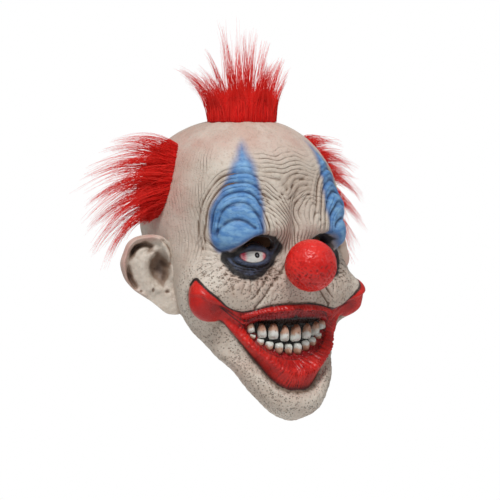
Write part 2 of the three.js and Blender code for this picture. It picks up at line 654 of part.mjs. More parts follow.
// A thick oval of dense pile on the head. Its underside is cut to the head afterwards.
function pileSolid(across, down, wide, high, pile) {
  const turns = 16;
  const at = (edge, lift) =>
    Array.from({ length: turns }, (_, i) => {
      const a = (2 * Math.PI * i) / turns;
      return placeOn(across + wide * edge * Math.cos(a), down + high * edge * Math.sin(a), lift).point;
    });
  const rings = [at(0.45, pile), at(0.8, pile * 0.75), at(1, pile * 0.3), at(1, -WALL)];
  return stitch(rings, placeOn(across, down, pile).point, placeOn(across, down, -WALL).point);
}

function crownPile() {
  const turns = 16;
  const at = (edge, z) =>
    Array.from({ length: turns }, (_, i) => {
      const a = (2 * Math.PI * i) / turns;
      return new THREE.Vector3(TUFT_RADIUS * edge * Math.sin(a), -TUFT_RADIUS * edge * Math.cos(a), z);
    });
  const top = CROWN_HEIGHT + TUFT_PILE;
  const low = -TUFT_RADIUS * 0.4;
  const rings = [at(0.7, top), at(1, top * 0.8), at(1, low)];
  return stitch(rings, new THREE.Vector3(0, 0, top), new THREE.Vector3(0, 0, low));
}

function crownTuft(inflated) {
  let tuft = crownPile();
  for (const lock of CROWN_LOCKS) {
    const root = new THREE.Vector3(lock.x, lock.y, 0).multiplyScalar(TUFT_RADIUS).setZ(TUFT_PILE * 0.8);
    const up = new THREE.Vector3(lock.leanX * 0.5, lock.leanY * 0.5, 1);
    const droop = new THREE.Vector3(lock.leanX * 0.5, lock.leanY * 0.5, -0.08);
    tuft = tuft.add(lockSolid(root, up, droop, TUFT_LOCK * lock.long - root.z * 0.3, lock.thick));
  }
  return tuft.subtract(inflated);
}

function sideTuft(side, inflated) {
  const wide = (SIDE_TUFT_WIDTH / 2 / HALF_WIDTH) * CHART_ACROSS;
  const high = (SIDE_TUFT_HEIGHT / 2 / FACE_HEIGHT) * CHART_DOWN;
  const across = side * SIDE_TUFT_ACROSS;
  let tuft = pileSolid(across, SIDE_TUFT_DOWN, wide, high, SIDE_TUFT_PILE);
  for (const lock of SIDE_LOCKS) {
    const place = placeOn(
      across + side * lock.x * wide,
      SIDE_TUFT_DOWN - lock.y * high,
      SIDE_TUFT_PILE * 0.6,
    );
    const way = new THREE.Vector3(side, lock.back * 0.6, lock.rise * 0.5 + 0.25);
    const droop = new THREE.Vector3(0, lock.back * 0.3, lock.rise * 0.5 - 0.25);
    tuft = tuft.add(lockSolid(place.point, way, droop, SIDE_TUFT_LOCK * lock.long, lock.thick));
  }
  return tuft.subtract(inflated);
}

function named(name, solid, look) {
  const mesh = new THREE.Mesh(geometryOf(solid), new THREE.MeshStandardMaterial(look));
  mesh.name = name;
  return mesh;
}

const inflatedHead = headSolid(HEAD_COLUMNS, 1, GLUE_GAP);
const mask = new THREE.Group();
mask.name = "clown_mask";
mask.add(named("latex_shell", shellSolid(), LATEX));
mask.add(named("crown_tuft", crownTuft(inflatedHead), FUR));
mask.add(named("right_tuft", sideTuft(-1, inflatedHead), FUR));
mask.add(named("left_tuft", sideTuft(1, inflatedHead), FUR));
mask.position.z = WALL - CROWN_HEIGHT;
export default mask;
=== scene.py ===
import math

import bpy
import numpy as np
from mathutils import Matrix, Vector, noise as perlin


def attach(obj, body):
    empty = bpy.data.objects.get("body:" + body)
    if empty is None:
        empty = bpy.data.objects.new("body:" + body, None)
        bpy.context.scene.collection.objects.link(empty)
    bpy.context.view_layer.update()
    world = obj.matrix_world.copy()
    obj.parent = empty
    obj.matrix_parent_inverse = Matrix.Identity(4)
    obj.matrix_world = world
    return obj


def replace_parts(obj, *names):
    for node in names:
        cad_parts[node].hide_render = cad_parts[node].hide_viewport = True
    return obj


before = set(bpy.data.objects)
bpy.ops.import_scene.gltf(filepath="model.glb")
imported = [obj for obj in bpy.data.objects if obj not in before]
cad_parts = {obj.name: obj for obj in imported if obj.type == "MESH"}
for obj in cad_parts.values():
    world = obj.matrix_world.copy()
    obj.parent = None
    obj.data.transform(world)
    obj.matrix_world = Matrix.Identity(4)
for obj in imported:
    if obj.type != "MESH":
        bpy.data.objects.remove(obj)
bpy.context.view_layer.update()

RNG = np.random.default_rng(11)

# Sizes in millimetres, as in the part's source
HALF_WIDTH, FACE_DEPTH, BACK_DEPTH = 88.0, 100.0, 107.0
FACE_HEIGHT, SIDE_HEIGHT, BACK_HEIGHT = 280.0, 192.0, 150.0
CROWN_HEIGHT, WALL = 4.5, 2.0
NOSE_RADIUS, NOSE_SINK, NOSE_DOWN = 24.0, 7.5, 134.0
EAR_HEIGHT, EAR_THICKNESS = 75.0, 5.0
TUFT_RADIUS = 33.0
SIDE_TUFT_HEIGHT, SIDE_TUFT_WIDTH = 76.0, 50.0
ACROSS = 92.0  # chart units round the head in a radian
DROP = CROWN_HEIGHT - WALL  # the chart's hat line above the crown seat
FULLNESS = 0.08
MIDLINE_ROUND = 3.0

# How finely the pieces are made
HEAD_COLUMNS, LINING_ROWS, LINING_COLUMNS = 404, 92, 120
NOSE_ROWS, NOSE_COLUMNS = 90, 150
TOOTH_RINGS, TOOTH_COLUMNS = 13, 24
PILE_COLUMNS = 48
HAIRS, HAIR_STEPS = 4600, 7  # hairs in each tuft, steps along a hair

# front, front low, side, side low, back, back low, ears, chin
RINGS = np.array([
    (0.00, 0.000, 0.000, 0.000, 0.000, 0.000, 0.02, 0.00),
    (0.32, 0.004, 0.360, 0.006, 0.360, 0.004, -0.02, 0.00),
    (0.58, 0.058, 0.670, 0.073, 0.680, 0.095, -0.02, 0.00),
    (0.80, 0.145, 0.875, 0.193, 0.920, 0.260, -0.02, 0.00),
    (0.89, 0.255, 0.980, 0.339, 1.000, 0.470, -0.02, 0.00),
    (0.90, 0.355, 1.000, 0.474, 0.990, 0.640, -0.01, 0.00),
    (0.85, 0.440, 0.990, 0.594, 0.930, 0.760, 0.00, 0.00),
    (0.87, 0.535, 0.965, 0.719, 0.870, 0.845, 0.03, 0.00),
    (0.87, 0.640, 0.935, 0.812, 0.810, 0.900, 0.07, 0.00),
    (0.85, 0.740, 0.900, 0.890, 0.770, 0.940, 0.11, 0.04),
    (0.87, 0.835, 0.865, 0.943, 0.745, 0.965, 0.15, 0.08),
    (0.96, 0.915, 0.830, 0.980, 0.730, 0.985, 0.18, 0.13),
    (0.94, 0.970, 0.795, 1.005, 0.720, 1.000, 0.20, 0.15),
    (0.82, 0.990, 0.750, 1.010, 0.710, 1.010, 0.21, 0.15),
])
LAST = len(RINGS) - 1

# across, down, wide, high, tilt, relief, blunt
BUMPS = [
    (62, 82, 24, 12, -8, 6, 1.3),  # brow roll
    (0, 90, 7, 26, 0, -8, 1),  # crease between the brows
    (20, 92, 11, 22, 12, 3.5, 1.2),  # inner brow
    (0, 134, 15, 19, 0, 9, 1.5),  # under the ball nose
    (14, 152, 13, 14, 0, 4, 1.2),  # side of the nose
    (95, 158, 30, 33, 0, 14.5, 1.6),  # cheek
    (86, 165, 11.5, 18.5, 12, 12.5, 2.2),  # red cheek ball
    (0, 260, 27, 12, 0, 5, 1.2),  # chin
    (66, 224, 20, 18, 35, -4, 1),  # hollow over the jaw
    (106, 104, 18, 26, 0, -3, 1),  # temple
]
CHEEK_APPLE = (60, 160, 24, 21, 0, 7, 1.3)
BROW_ROLLS = [(60, 106, 22, 14, 0, 10, 1.4), (30, 98, 16, 10, 0, 4, 1.4)]
EYE_SOCKET = (43.5, 123.3, 29, 19, 0, -7.5, 2)
EYE_BAG = (47.5, 129.3, 22, 13, 0, 6, 1.5)
EYE = (44.5, 124.3)
PUPIL = (41, 123.8)
BROW_EDGE = [(8, 116), (16, 109), (24, 104.5), (34, 103.5), (44, 106), (52, 111), (60, 116), (70, 120),
             (80, 120.5), (92, 112)]
# across, upper outer, upper inner, lower inner, lower outer
MOUTH = np.array([
    (0, 169.5, 187.5, 219, 247.5), (14, 169.5, 187, 217.5, 245), (28, 171, 186.5, 211.5, 235),
    (42, 173.5, 185.5, 203, 221), (53, 175.5, 189, 193, 210), (60, 175.3, 188.5, 188.5, 203),
    (68, 172, 182.5, 182.5, 195), (76, 165, 175.5, 175.5, 187), (84, 158, 170, 170, 183)], float)
MOUTH_END = 77.0
LIP_UPPER = [(0, 0), (0.15, 3), (0.35, 4.5), (0.55, 1), (0.8, 0), (1, -4), (1.15, -6.5)]
LIP_LOWER = [(0, -1), (0.1, 3), (0.3, 9), (0.5, 9.5), (0.75, 5), (0.92, 0), (1.1, -6.5)]
GUM_CREASE = [(0, 176.5), (20, 177), (40, 179.5), (52, 184), (62, 179), (72, 171), (80, 168)]
SLIT = [(54.5, 115), (47.5, 110), (38.5, 107.5), (30, 108.5), (23.5, 112.5), (22, 118), (27, 119.5),
        (32.5, 116.8), (38.5, 114.8), (45, 114), (51.4, 115.6)]

# Paint outlines on the chart: across, down
BLUE = [(56, 21), (48, 36), (44, 48), (42, 61), (39, 74), (37, 86), (36, 98), (37, 105), (46, 106.5),
        (53, 112), (61, 116.5), (69, 120), (78, 120.5), (84, 113), (86.5, 101), (87, 92), (84.5, 84.5),
        (80, 77.5), (76, 70.5), (72, 61.5), (68, 54), (65, 45), (62, 35.5), (60, 27)]
NAVY = [(75, 121.5), (64.6, 120.7), (55, 114.3), (49.7, 108.6), (42.3, 105.7), (35, 105), (27.5, 106.4),
        (20.8, 109.3), (14.8, 114.3), (15.6, 119.3), (18.2, 125.7), (22.4, 132.1), (29.2, 137.9),
        (35.9, 142.9), (42.3, 145.8), (48.3, 147.2), (55, 145.8), (61.7, 142.2), (67.6, 137.2),
        (72, 132.1), (76, 127.8)]
UPPER_LINE = [(98.5, 150), (94, 145), (88, 147.5), (81.5, 153), (75.5, 160), (72.5, 164.5), (68, 170.5),
              (62, 174), (56, 175.5), (50, 175), (43.5, 174), (35.5, 172), (25.5, 170.5), (14, 169.5),
              (2.5, 169.5), (-6, 169.5)]
SPOT_EDGE = [(98.5, 150), (99.5, 157.5), (99.5, 164), (97, 171), (92.5, 178), (87.5, 182), (81.5, 183.5),
             (76, 183)]
LOWER_LINE = [(76, 183), (74, 184.5), (66, 194.5), (60, 201.5), (52.5, 210), (45.5, 218), (37, 226.5),
              (29.5, 234), (21, 241), (14, 245.5), (7.5, 247.8), (0, 247.8), (-6, 247.8)]
OPENING = [(-6, 176.5), (8, 176), (21, 176.5), (34, 177.5), (44, 180.5), (51, 185.5), (53.5, 190), (49, 197),
           (42, 204.5), (34, 211), (26, 215.5), (14, 219.5), (0, 221), (-6, 221)]
MOUTH_CORNER = [(53, 189), (60, 184), (67, 178), (73, 171)]
# line, depth, width
BROW_CREASES = [
    ([(78, 102), (71, 95), (62, 91), (53, 92.5), (45, 98)], 2.2, 1.6),
    ([(86, 112), (80, 119), (70, 121)], 1.0, 1.6),
    ([(40, 88), (52, 80), (66, 79), (78, 86)], 1.1, 1.3),
    ([(39, 77), (52, 69), (64, 69), (75, 77)], 1.1, 1.3),
    ([(41, 67), (52, 58), (62, 58), (72, 66)], 1.0, 1.2),
]
APPLE_FOLD = [(23, 133), (30, 143), (39, 155), (47, 164)]
NASOLABIAL = [(12, 132), (18, 141), (25.5, 149.5), (35, 162), (44, 171.5)]
# Where each costly outline is measured: across and down from, across and down to
EYE_BOX, BLUE_BOX, NAVY_BOX = (5, 95, 70, 135), (20, 5, 105, 135), (2, 92, 92, 160)
RED_BOX, GUM_BOX, CORNER_BOX = (-1, 120, 125, 265), (-1, 165, 75, 240), (40, 150, 90, 210)
BROW_BOX, SMILE_BOX, APPLE_BOX = (25, 75, 105, 130), (0, 118, 64, 184), (10, 118, 64, 184)

# across, down, wide, share of the longest, lean
UPPER_TEETH = [(-47, 191, 7, 0.62, 8), (-34.5, 194, 8, 0.86, 4), (-21.5, 194.5, 9, 0.97, 2),
               (-8, 197, 8, 0.93, 0), (6.5, 197, 10, 1, -3), (22, 196, 8.5, 0.92, -8),
               (35.5, 194, 8, 0.84, -6), (47, 191, 7, 0.62, -8)]
LOWER_TEETH = [(-45, 199.5, 6, 0.42, -14), (-36, 205, 7, 0.65, -10), (-26, 208.5, 8, 0.78, -6),
               (-14.5, 211, 8, 0.95, -2), (-3, 212, 7, 0.93, 0), (9, 212, 8, 1, 2),
               (20.5, 209.5, 7.5, 0.9, 6), (31, 206.5, 7.5, 0.8, 10), (41.5, 201.5, 6.5, 0.6, 14)]
# teeth, longest, way the roots point, breadth, height
TOOTH_ROWS = [(UPPER_TEETH, 15.0, 1, 1.19, 1.13), (LOWER_TEETH, 12.0, -1, 1.06, 1.0)]
TOOTH_THICKNESS, TOOTH_REAR = 4.9, 0.5
TOOTH_LINING = 2.2  # room for their backs, beyond the wall

# Ear forms as shares of its height: out, up
EAR_OUTLINE = [(-0.08, 0.4), (0.02, 0.43), (0.15, 0.43), (0.28, 0.4), (0.37, 0.33), (0.42, 0.22),
               (0.46, 0.09), (0.44, -0.03), (0.39, -0.14), (0.29, -0.25), (0.19, -0.32), (0.08, -0.39),
               (-0.01, -0.46), (-0.11, -0.54), (-0.18, -0.56), (-0.27, -0.56), (-0.34, -0.52),
               (-0.37, -0.4), (-0.33, -0.2), (-0.24, 0.1), (-0.18, 0.3)]
EAR_RIM = [(-0.1, 0.405), (0.02, 0.4), (0.15, 0.395), (0.27, 0.365), (0.35, 0.3), (0.395, 0.2),
           (0.425, 0.08), (0.41, -0.04), (0.355, -0.15), (0.26, -0.26), (0.16, -0.33)]
EAR_GROOVE = [(0.02, 0.26), (0.1, 0.305), (0.19, 0.31), (0.28, 0.25), (0.335, 0.14), (0.355, 0.02),
              (0.335, -0.11), (0.27, -0.22)]
EAR_FOLD = [(0.03, 0.19), (0.13, 0.15), (0.185, 0.03), (0.17, -0.11), (0.09, -0.23)]
EAR_ROOT = [(-0.02, 0.37), (-0.09, 0.29), (-0.14, 0.18), (-0.12, 0.08)]
EAR_FRONT = [(-0.285, 0.04), (-0.292, -0.09), (-0.268, -0.24)]
EAR_DIMPLES = [(0.05, -0.255, 0.016, 0.03), (0.2, -0.27, 0.02, 0.02), (-0.13, -0.28, 0.03, 0.02)]
EAR_ACROSS, EAR_DOWN, EAR_OUT, EAR_SWING = 136.0, 138.0, 14.0, 23.0

HAIR_THIN, HAIR_THICK = 0.2, 0.32
HAIR_ROOT = -1.0  # below the skin
ROOT_PATCH = 0.93  # of the side tuft's height
SIDE_ACROSS, SIDE_DOWN = 163.0, 56.0
SIDE_WIDE, SIDE_HIGH = SIDE_TUFT_WIDTH / 2 / HALF_WIDTH * ACROSS, ROOT_PATCH * SIDE_TUFT_HEIGHT / 2
# Crown clumps: foot x, foot y, lean x, lean y, length
CROWN_LOCKS = np.array([
    (-26, -6, -0.75, 0.0, 52), (-24, 10, -0.95, 0.2, 60), (-18, -18, -0.35, -0.25, 50),
    (-14, 2, -0.42, 0.05, 62), (-12, 20, -0.5, 0.45, 52), (-4, -12, -0.12, -0.05, 66),
    (-5, 8, -0.1, 0.1, 80), (-3, 26, -0.1, 0.6, 44), (2, -26, 0.0, -0.5, 46), (5, -4, 0.08, -0.02, 72),
    (8, 14, 0.15, 0.3, 62), (12, -16, 0.25, -0.2, 54), (15, 3, 0.26, 0.05, 66), (16, 22, 0.4, 0.5, 44),
    (22, -8, 0.42, -0.1, 52), (24, 9, 0.55, 0.15, 56), (30, 0, 0.3, 0.0, 50), (-30, 0, -0.5, -0.05, 40),
    (20, -20, 0.3, -0.4, 42), (-20, 22, -0.4, 0.5, 42), (0, 2, -0.02, 0.02, 74), (9, -9, 0.2, -0.1, 60),
    (-9, -2, -0.2, -0.05, 58), (10, 5, 0.1, 0.1, 70)], float)
# Side clumps: foot across, foot up, back, rise, length
SIDE_LOCKS = np.array([
    (-0.8, 0.2, 0.15, 0.1, 46), (-0.7, 0.6, 0.1, 0.4, 44), (-0.75, -0.3, 0.15, -0.45, 50),
    (-0.4, 0.8, 0.3, 0.5, 54), (-0.45, 0.45, 0.3, 0.3, 64), (-0.4, 0.1, 0.35, -0.05, 66),
    (-0.45, -0.25, 0.3, -0.45, 62), (-0.35, -0.6, 0.25, -0.8, 60), (0.0, 0.85, 0.5, 0.4, 56),
    (-0.05, 0.5, 0.5, 0.25, 68), (0.0, 0.2, 0.5, 0.0, 70), (-0.05, -0.1, 0.45, -0.3, 68),
    (0.0, -0.45, 0.4, -0.7, 64), (0.05, -0.8, 0.35, -1.0, 60), (0.4, 0.7, 0.75, 0.3, 54),
    (0.4, 0.35, 0.75, 0.1, 60), (0.4, 0.0, 0.7, -0.15, 62), (0.4, -0.35, 0.65, -0.45, 60),
    (0.35, -0.7, 0.55, -0.85, 56), (0.8, 0.3, 0.95, 0.05, 50), (0.8, -0.1, 0.95, -0.2, 50),
    (0.75, -0.45, 0.85, -0.6, 50)], float)


def turns(count):
    """Even angles once round."""
    return np.arange(count) * 2 * np.pi / count


def smooth(a, b, x):
    t = np.clip((x - a) / (b - a), 0, 1)
    return t * t * (3 - 2 * t)


def window(x, a, b, soft):
    return smooth(a - soft, a + soft, x) * smooth(b + soft, b - soft, x)


def bell(x, middle, wide):
    return np.exp(-(((x - middle) / wide) ** 2))


def hill(a, d, across, down, wide, high, tilt=0, relief=1, blunt=1):
    k = math.radians(tilt)
    u, v = a - across, d - down
    u, v = u * math.cos(k) + v * math.sin(k), v * math.cos(k) - u * math.sin(k)
    return relief * np.exp(-(((u / wide) ** 2 + (v / high) ** 2) ** blunt))


def creases(phase, width):
    """A line wherever the phase is whole."""
    return bell(phase, np.round(phase), width)


def polar(a, d, across, down):
    """Bearing in degrees and reach from a place on the chart."""
    return np.degrees(np.arctan2(d - down, a - across)), np.hypot(a - across, d - down)


def through(a, b, c, d, f):
    """Point at share f of a smooth curve's stretch from b to c."""
    return 0.5 * (2 * b + (c - a) * f + (2 * a - 5 * b + 4 * c - d) * f**2 + (3 * b - a - 3 * c + d) * f**3)


def ring_value(column, t):
    i = np.clip(np.floor(t).astype(int), 0, LAST - 1)
    f = t - i
    col = RINGS[:, column]
    b, c = col[i], col[i + 1]
    beyond = -c if column in (0, 2, 4) else c
    a = np.where(i > 0, col[np.maximum(i - 1, 0)], beyond)
    d = np.where(i < LAST - 1, col[np.minimum(i + 2, LAST)], 2 * c - b)
    return through(a, b, c, d, f)


def curve(rows, x):
    """A smooth curve through uneven points with flat ends, as the part's source has it."""
    rows = np.asarray(rows, float)
    xs, ys = rows[:, 0], rows[:, 1]
    x = np.clip(x, xs[0], xs[-1])
    i = np.clip(np.searchsorted(xs, x, side="right") - 1, 0, len(xs) - 2)
    lo, hi = np.maximum(i - 1, 0), np.minimum(i + 2, len(xs) - 1)
    gap = xs[i + 1] - xs[i]
    m0 = (ys[i + 1] - ys[lo]) / (xs[i + 1] - xs[lo]) * gap
    m1 = (ys[hi] - ys[i]) / (xs[hi] - xs[i]) * gap
    f = (x - xs[i]) / gap
    rise = ys[i + 1] - ys[i]
    return ys[i] + m0 * f + (3 * rise - 2 * m0 - m1 + (m0 + m1 - 2 * rise) * f) * f * f


def plain(phi, t):
    """The head without its relief."""
    c, s = np.cos(phi), np.sin(phi)
    crown = CROWN_HEIGHT * smooth(1, 0, t)
    ear = -ring_value(6, t) * FACE_DEPTH
    side_z = crown - ring_value(3, t) * SIDE_HEIGHT
    front_z = crown - ring_value(1, t) * FACE_HEIGHT
    back_z = crown - ring_value(5, t) * BACK_HEIGHT
    x = ring_value(2, t) * HALF_WIDTH * s * (1 + FULLNESS * (1 - s * s))
    end = np.where(c > 0, -ring_value(0, t) * FACE_DEPTH, ring_value(4, t) * BACK_DEPTH)
    ac = np.abs(c)
    y = ear + (end - ear) * ac * (1 + FULLNESS * (1 - ac * ac))
    chin = ring_value(7, t) * FACE_HEIGHT * c**3 * (1 - c * c)
    z = side_z + (front_z - back_z) / 2 * c + ((front_z + back_z) / 2 - side_z) * c * c + chin
    return np.stack([x, y, z], -1)


def plain_normal(phi, t):
    h = 1e-3
    low = np.maximum(t, 2 * h)
    n = np.cross(plain(phi, low + h) - plain(phi, low), plain(phi + h, t) - plain(phi - h, t))
    return n / (np.linalg.norm(n, axis=-1, keepdims=True) + 1e-12)


def chart(p):
    return ACROSS * np.arctan2(p[..., 0], -p[..., 1]), -p[..., 2]


def main_relief(s, d):
    """The forms that the part's source has."""
    a = np.hypot(s, MIDLINE_ROUND)
    out = np.zeros_like(a)
    for bump in BUMPS:
        out += hill(a, d, *bump)
    uo, ui, li, lo = (curve(MOUTH[:, [0, k]], a) for k in (1, 2, 3, 4))
    out += hill(a, d, *CHEEK_APPLE) * smooth(2.5, -1.5, d - uo)
    upper = d < (ui + li) / 2
    share = np.where(upper, (d - uo) / np.maximum(ui - uo, 4), (lo - d) / np.maximum(lo - li, 4))
    lip = np.where(upper, curve(LIP_UPPER, share), curve(LIP_LOWER, share))
    opened = smooth(60, 44, a)
    lip = lip * np.where(lip < 0, 0.25 + 0.75 * opened, 0.45 + 0.55 * opened) * smooth(MOUTH_END, 60, a)
    out += np.where((d > uo) & (d < lo) & (a < MOUTH_END), lip, 0)
    out += -4.5 * bell(d, lo + 3.5, 4.5) * smooth(60, 20, a)
    from_edge = (d - curve(BROW_EDGE, a)) / (1 + 0.05 * np.maximum(0, a - EYE[0]))
    for roll in BROW_ROLLS:
        out += hill(a, d, *roll) * smooth(3.5, -3.5, from_edge)
    out += hill(a, d, *EYE_SOCKET) * smooth(-2.5, 3.5, from_edge)
    return out + hill(a, d, *EYE_BAG)


# Slow random waves over the chart, seeded, for the unevenness of a hand-made sculpt
WAVE_SETS, WAVE_COUNT = 16, 5
WAVES = []
for _ in range(WAVE_SETS):
    headings = RNG.uniform(0, 2 * np.pi, WAVE_COUNT)
    starts = RNG.uniform(0, 2 * np.pi, WAVE_COUNT)
    WAVES.append((headings, starts, RNG.uniform(0.7, 1.4, WAVE_COUNT)))


def wave(s, d, size, k):
    out = np.zeros_like(s)
    for turn, phase, pace in zip(*WAVES[k]):
        out += np.sin((s * math.cos(turn) + d * math.sin(turn)) * 2 * math.pi * pace / size + phase)
    return out / 2.6


def smooth_line(points, closed=False, n=8):
    p = np.array(points, float)
    k = len(p)
    out = []
    for i in range(k if closed else k - 1):
        if closed:
            a, b, c, e = p[i - 1], p[i], p[(i + 1) % k], p[(i + 2) % k]
        else:
            b, c = p[i], p[i + 1]
            a = p[i - 1] if i else 2 * b - c
            e = p[i + 2] if i + 2 < k else 2 * c - b
        f = np.arange(n)[:, None] / n
        out.append(through(a, b, c, e, f))
    if not closed:
        out.append(p[-1:])
    return np.concatenate(out)


def line_distance(u, v, line, closed=False):
    """Distance to a line on the chart, and the share along it of the nearest point."""
    pts = np.concatenate([line, line[:1]]) if closed else line
    best = np.full(u.shape, 1e9)
    where = np.zeros(u.shape)
    for i in range(len(pts) - 1):
        (x0, y0), (x1, y1) = pts[i], pts[i + 1]
        dx, dy = x1 - x0, y1 - y0
        f = np.clip(((u - x0) * dx + (v - y0) * dy) / (dx * dx + dy * dy + 1e-9), 0, 1)
        q = (u - x0 - f * dx) ** 2 + (v - y0 - f * dy) ** 2
        near = q < best
        best = np.where(near, q, best)
        where = np.where(near, (i + f) / (len(pts) - 1), where)
    return np.sqrt(best), where


def signed_distance(u, v, line):
    """Distance to a closed line, positive inside."""
    hit = np.zeros(u.shape, bool)
    for (x0, y0), (x1, y1) in zip(line, np.roll(line, -1, axis=0)):
        if y0 != y1:
            hit ^= ((y0 > v) != (y1 > v)) & (u < (x1 - x0) * (v - y0) / (y1 - y0) + x0)
    dist, _ = line_distance(u, v, line, True)
    return np.where(hit, dist, -dist)


def in_box(a, d, box, far, measure, *line):
    """A costly measure, made only where the chart place is in a box."""
    out = np.full(a.shape, far)
    sel = (a > box[0]) & (a < box[2]) & (d > box[1]) & (d < box[3])
    out[sel] = measure(a[sel], d[sel], *line)
    return out


def within(a, d, box, points, n=6):
    return in_box(a, d, box, -60.0, signed_distance, smooth_line(points, True, n))


def beside(a, d, box, points, far=99.0):
    return in_box(a, d, box, far, lambda u, v: line_distance(u, v, smooth_line(points))[0])


def along(a, d, box, points):
    return in_box(a, d, box, 0.0, lambda u, v: line_distance(u, v, smooth_line(points))[1])


def eye_distance(a, d):
    """Roughly signed distance inside the almond of the false eye."""
    u, v = (a - EYE[0]) / 14.2, (d - EYE[1]) / 6.6
    r = (np.abs(u) ** 1.9 + np.abs(v) ** 1.9 + 1e-9) ** (1 / 1.9)
    return (1 - r) * np.where(r < 1, 6.6, 8.5)


def fold_lines(s, d):
    """Phase and strength of the running lines: a line lies wherever a phase is whole."""
    a = np.abs(s)
    m = np.abs(s + 10 * smooth(104, 70, d))
    sag = 0.55 * np.clip(24 - m, 0, 24) * smooth(50, 68, d)
    brow = d - sag + 1.6 * np.sin(s / 10 + 1) + 1.2 * wave(s, d, 26, 2) + 0.03 * a * np.sin(s / 7)
    brow_w = window(a, -10, 47, 9) * window(d, 26, 76, 6) * (0.45 + 0.55 * window(m, -5, 30, 12))
    arc = 60 * np.hypot((a - 58) / 42, (d - 105) / 60) + 1.4 * wave(s, d, 34, 5)
    arc_w = window(arc, 22, 66, 6) * smooth(112, 96, d) * smooth(14, 34, m)
    loop = np.hypot((m - 29) / 0.8, (d - 106) / 1.35) + 1.0 * wave(s, d, 20, 7)
    loop_w = window(loop, 6, 42, 4) * window(d, 66, 122, 6) * smooth(33, 25, m)
    temple = a + 7 * np.sin((d - 78) / 45) + 1.3 * wave(s, d, 30, 8)
    temple_w = window(a, 90, 140, 8) * window(d, 30, 128, 12) * (0.5 + 0.5 * window(a, 91, 103, 3))
    angle, reach = polar(a, d, 66, 124)
    angle = angle + 3 * wave(s, d, 16, 10)
    crow_w = window(reach, 10, 31, 4) * window(angle, -45, 40, 10)
    return {"crow": (angle / 11, crow_w), "brow": (brow / 4.3, brow_w), "arc": (arc / 4.9, arc_w),
            "loop": (loop / 4.0, loop_w), "temple": (temple / 3.9, temple_w)}


# Running lines: name, depth, size of the wave that varies it, number of the wave
FOLDS = (("brow", 1.5, 30, 3), ("arc", 1.45, 34, 6), ("loop", 1.6, 40, 4), ("temple", 0.55, 40, 9))


def fine_relief(s, d, f):
    """Wrinkles, lids, lip ribs and creases. f holds the paint fields."""
    a = np.abs(s)
    out = 0.35 * wave(s, d, 42, 0) + 0.12 * wave(s, d, 13, 1)
    lines = fold_lines(s, d)
    for key, deep, size, k in FOLDS:
        phase, weight = lines[key]
        out -= deep * (0.65 + 0.3 * wave(s, d, size, k)).clip(0.15, 1.3) * creases(phase, 0.24) * weight
    slant = d + 0.55 * s + 1.2 * wave(s, d, 20, 4)
    out -= 0.8 * creases(slant / 8.5, 0.13) * window(a, -10, 18, 6) * window(d, 44, 76, 6)
    phase, weight = lines["arc"]
    out += 0.9 * np.sin(phase / 2.14 * 2 * np.pi) * weight
    temple, _ = lines["temple"]
    out -= 1.5 * creases((temple * 3.9 - 96.5) / 3.6, 0.22) * window(a, 91, 103, 2) * window(d, 92, 120, 5)
    # crow's feet
    angle, reach = polar(a, d, 66, 124)
    feet = creases((angle + 2 * wave(s, d, 16, 10)) / 13, 0.2)
    out -= 1.0 * feet * window(reach, 11, 31, 4) * window(angle, -32, 55, 8)
    # creases and dimple in the painted brow
    for line, deep, wide in BROW_CREASES:
        out -= deep * bell(beside(a, d, BROW_BOX, line), 0, wide)
    out -= 2.6 * hill(a, d, 80, 104, 3.6, 4.4)
    # false eye, its lids and the folds under it
    e = f["eye"]
    out += 2.4 * np.sqrt(np.clip(e / 6.6, 0, 1)) * (e > 0)
    out += 2.6 * bell(e, -2.2, 1.9) * window(a, 27, 62, 3)
    out -= 1.6 * bell(e, -5.2, 1.0) * window(a, 26, 64, 4)
    fold = -e + 0.8 * wave(s, d, 17, 11)
    under = window(fold, 6, 23, 1.5) * smooth(-2, 4, d - EYE[1]) * window(a, 18, 74, 6)
    out -= 1.7 * creases((fold - 8.2) / 3.6, 0.24) * under
    # smile creases beside the nose
    smile = f["smile"]
    out -= 2.2 * bell(smile, 0, 1.6)
    out -= 1.5 * bell(beside(a, d, APPLE_BOX, APPLE_FOLD), 0, 1.5)
    beyond = window(smile, 2, 15, 2) * window(d, 136, 168, 5)
    out -= 0.6 * creases((smile + 0.8 * wave(s, d, 14, 12)) / 3.8, 0.22) * beyond
    # wrinkles that fan out under the eye mark
    fan, far = polar(a, d, 47, 118)
    fan = fan + 2 * wave(s, d, 18, 10)
    out -= 1.2 * creases(fan / 11, 0.2) * window(far, 29, 42, 4) * window(fan, 25, 150, 10)
    # painted lines are pressed in
    out -= 1.3 * bell(f["upper_line"], 0, 1.5) + 0.9 * bell(f["lower_line"], 0, 1.6)
    # ribs across both lips, square to their outer lines
    lips = smooth(0.5, 3.5, f["red"]) * (1 - 0.8 * smooth(50, 64, a)) * smooth(84, 74, a)
    rib = np.where(f["lower_line"] < f["upper_line"], f["lower_share"] * 30, f["upper_share"] * 38)
    rib = rib + 0.25 * wave(s, d, 14, 13)
    out -= lips * (0.45 * np.cos(2 * np.pi * rib) + 1.1 * creases(rib, 0.2)) * (0.8 + 0.3 * wave(s, d, 9, 10))
    out -= 3.0 * hill(a, d, 78, 172, 4.5, 6.5)
    # crease along the upper lip, over the gums
    out -= 1.4 * bell(d, curve(GUM_CREASE, a), 1.3) * smooth(76, 70, a)
    # rough cast skin on cheek, lip and jaw
    return out + 0.22 * wave(s, d, 6.5, 14) * f["pores"]


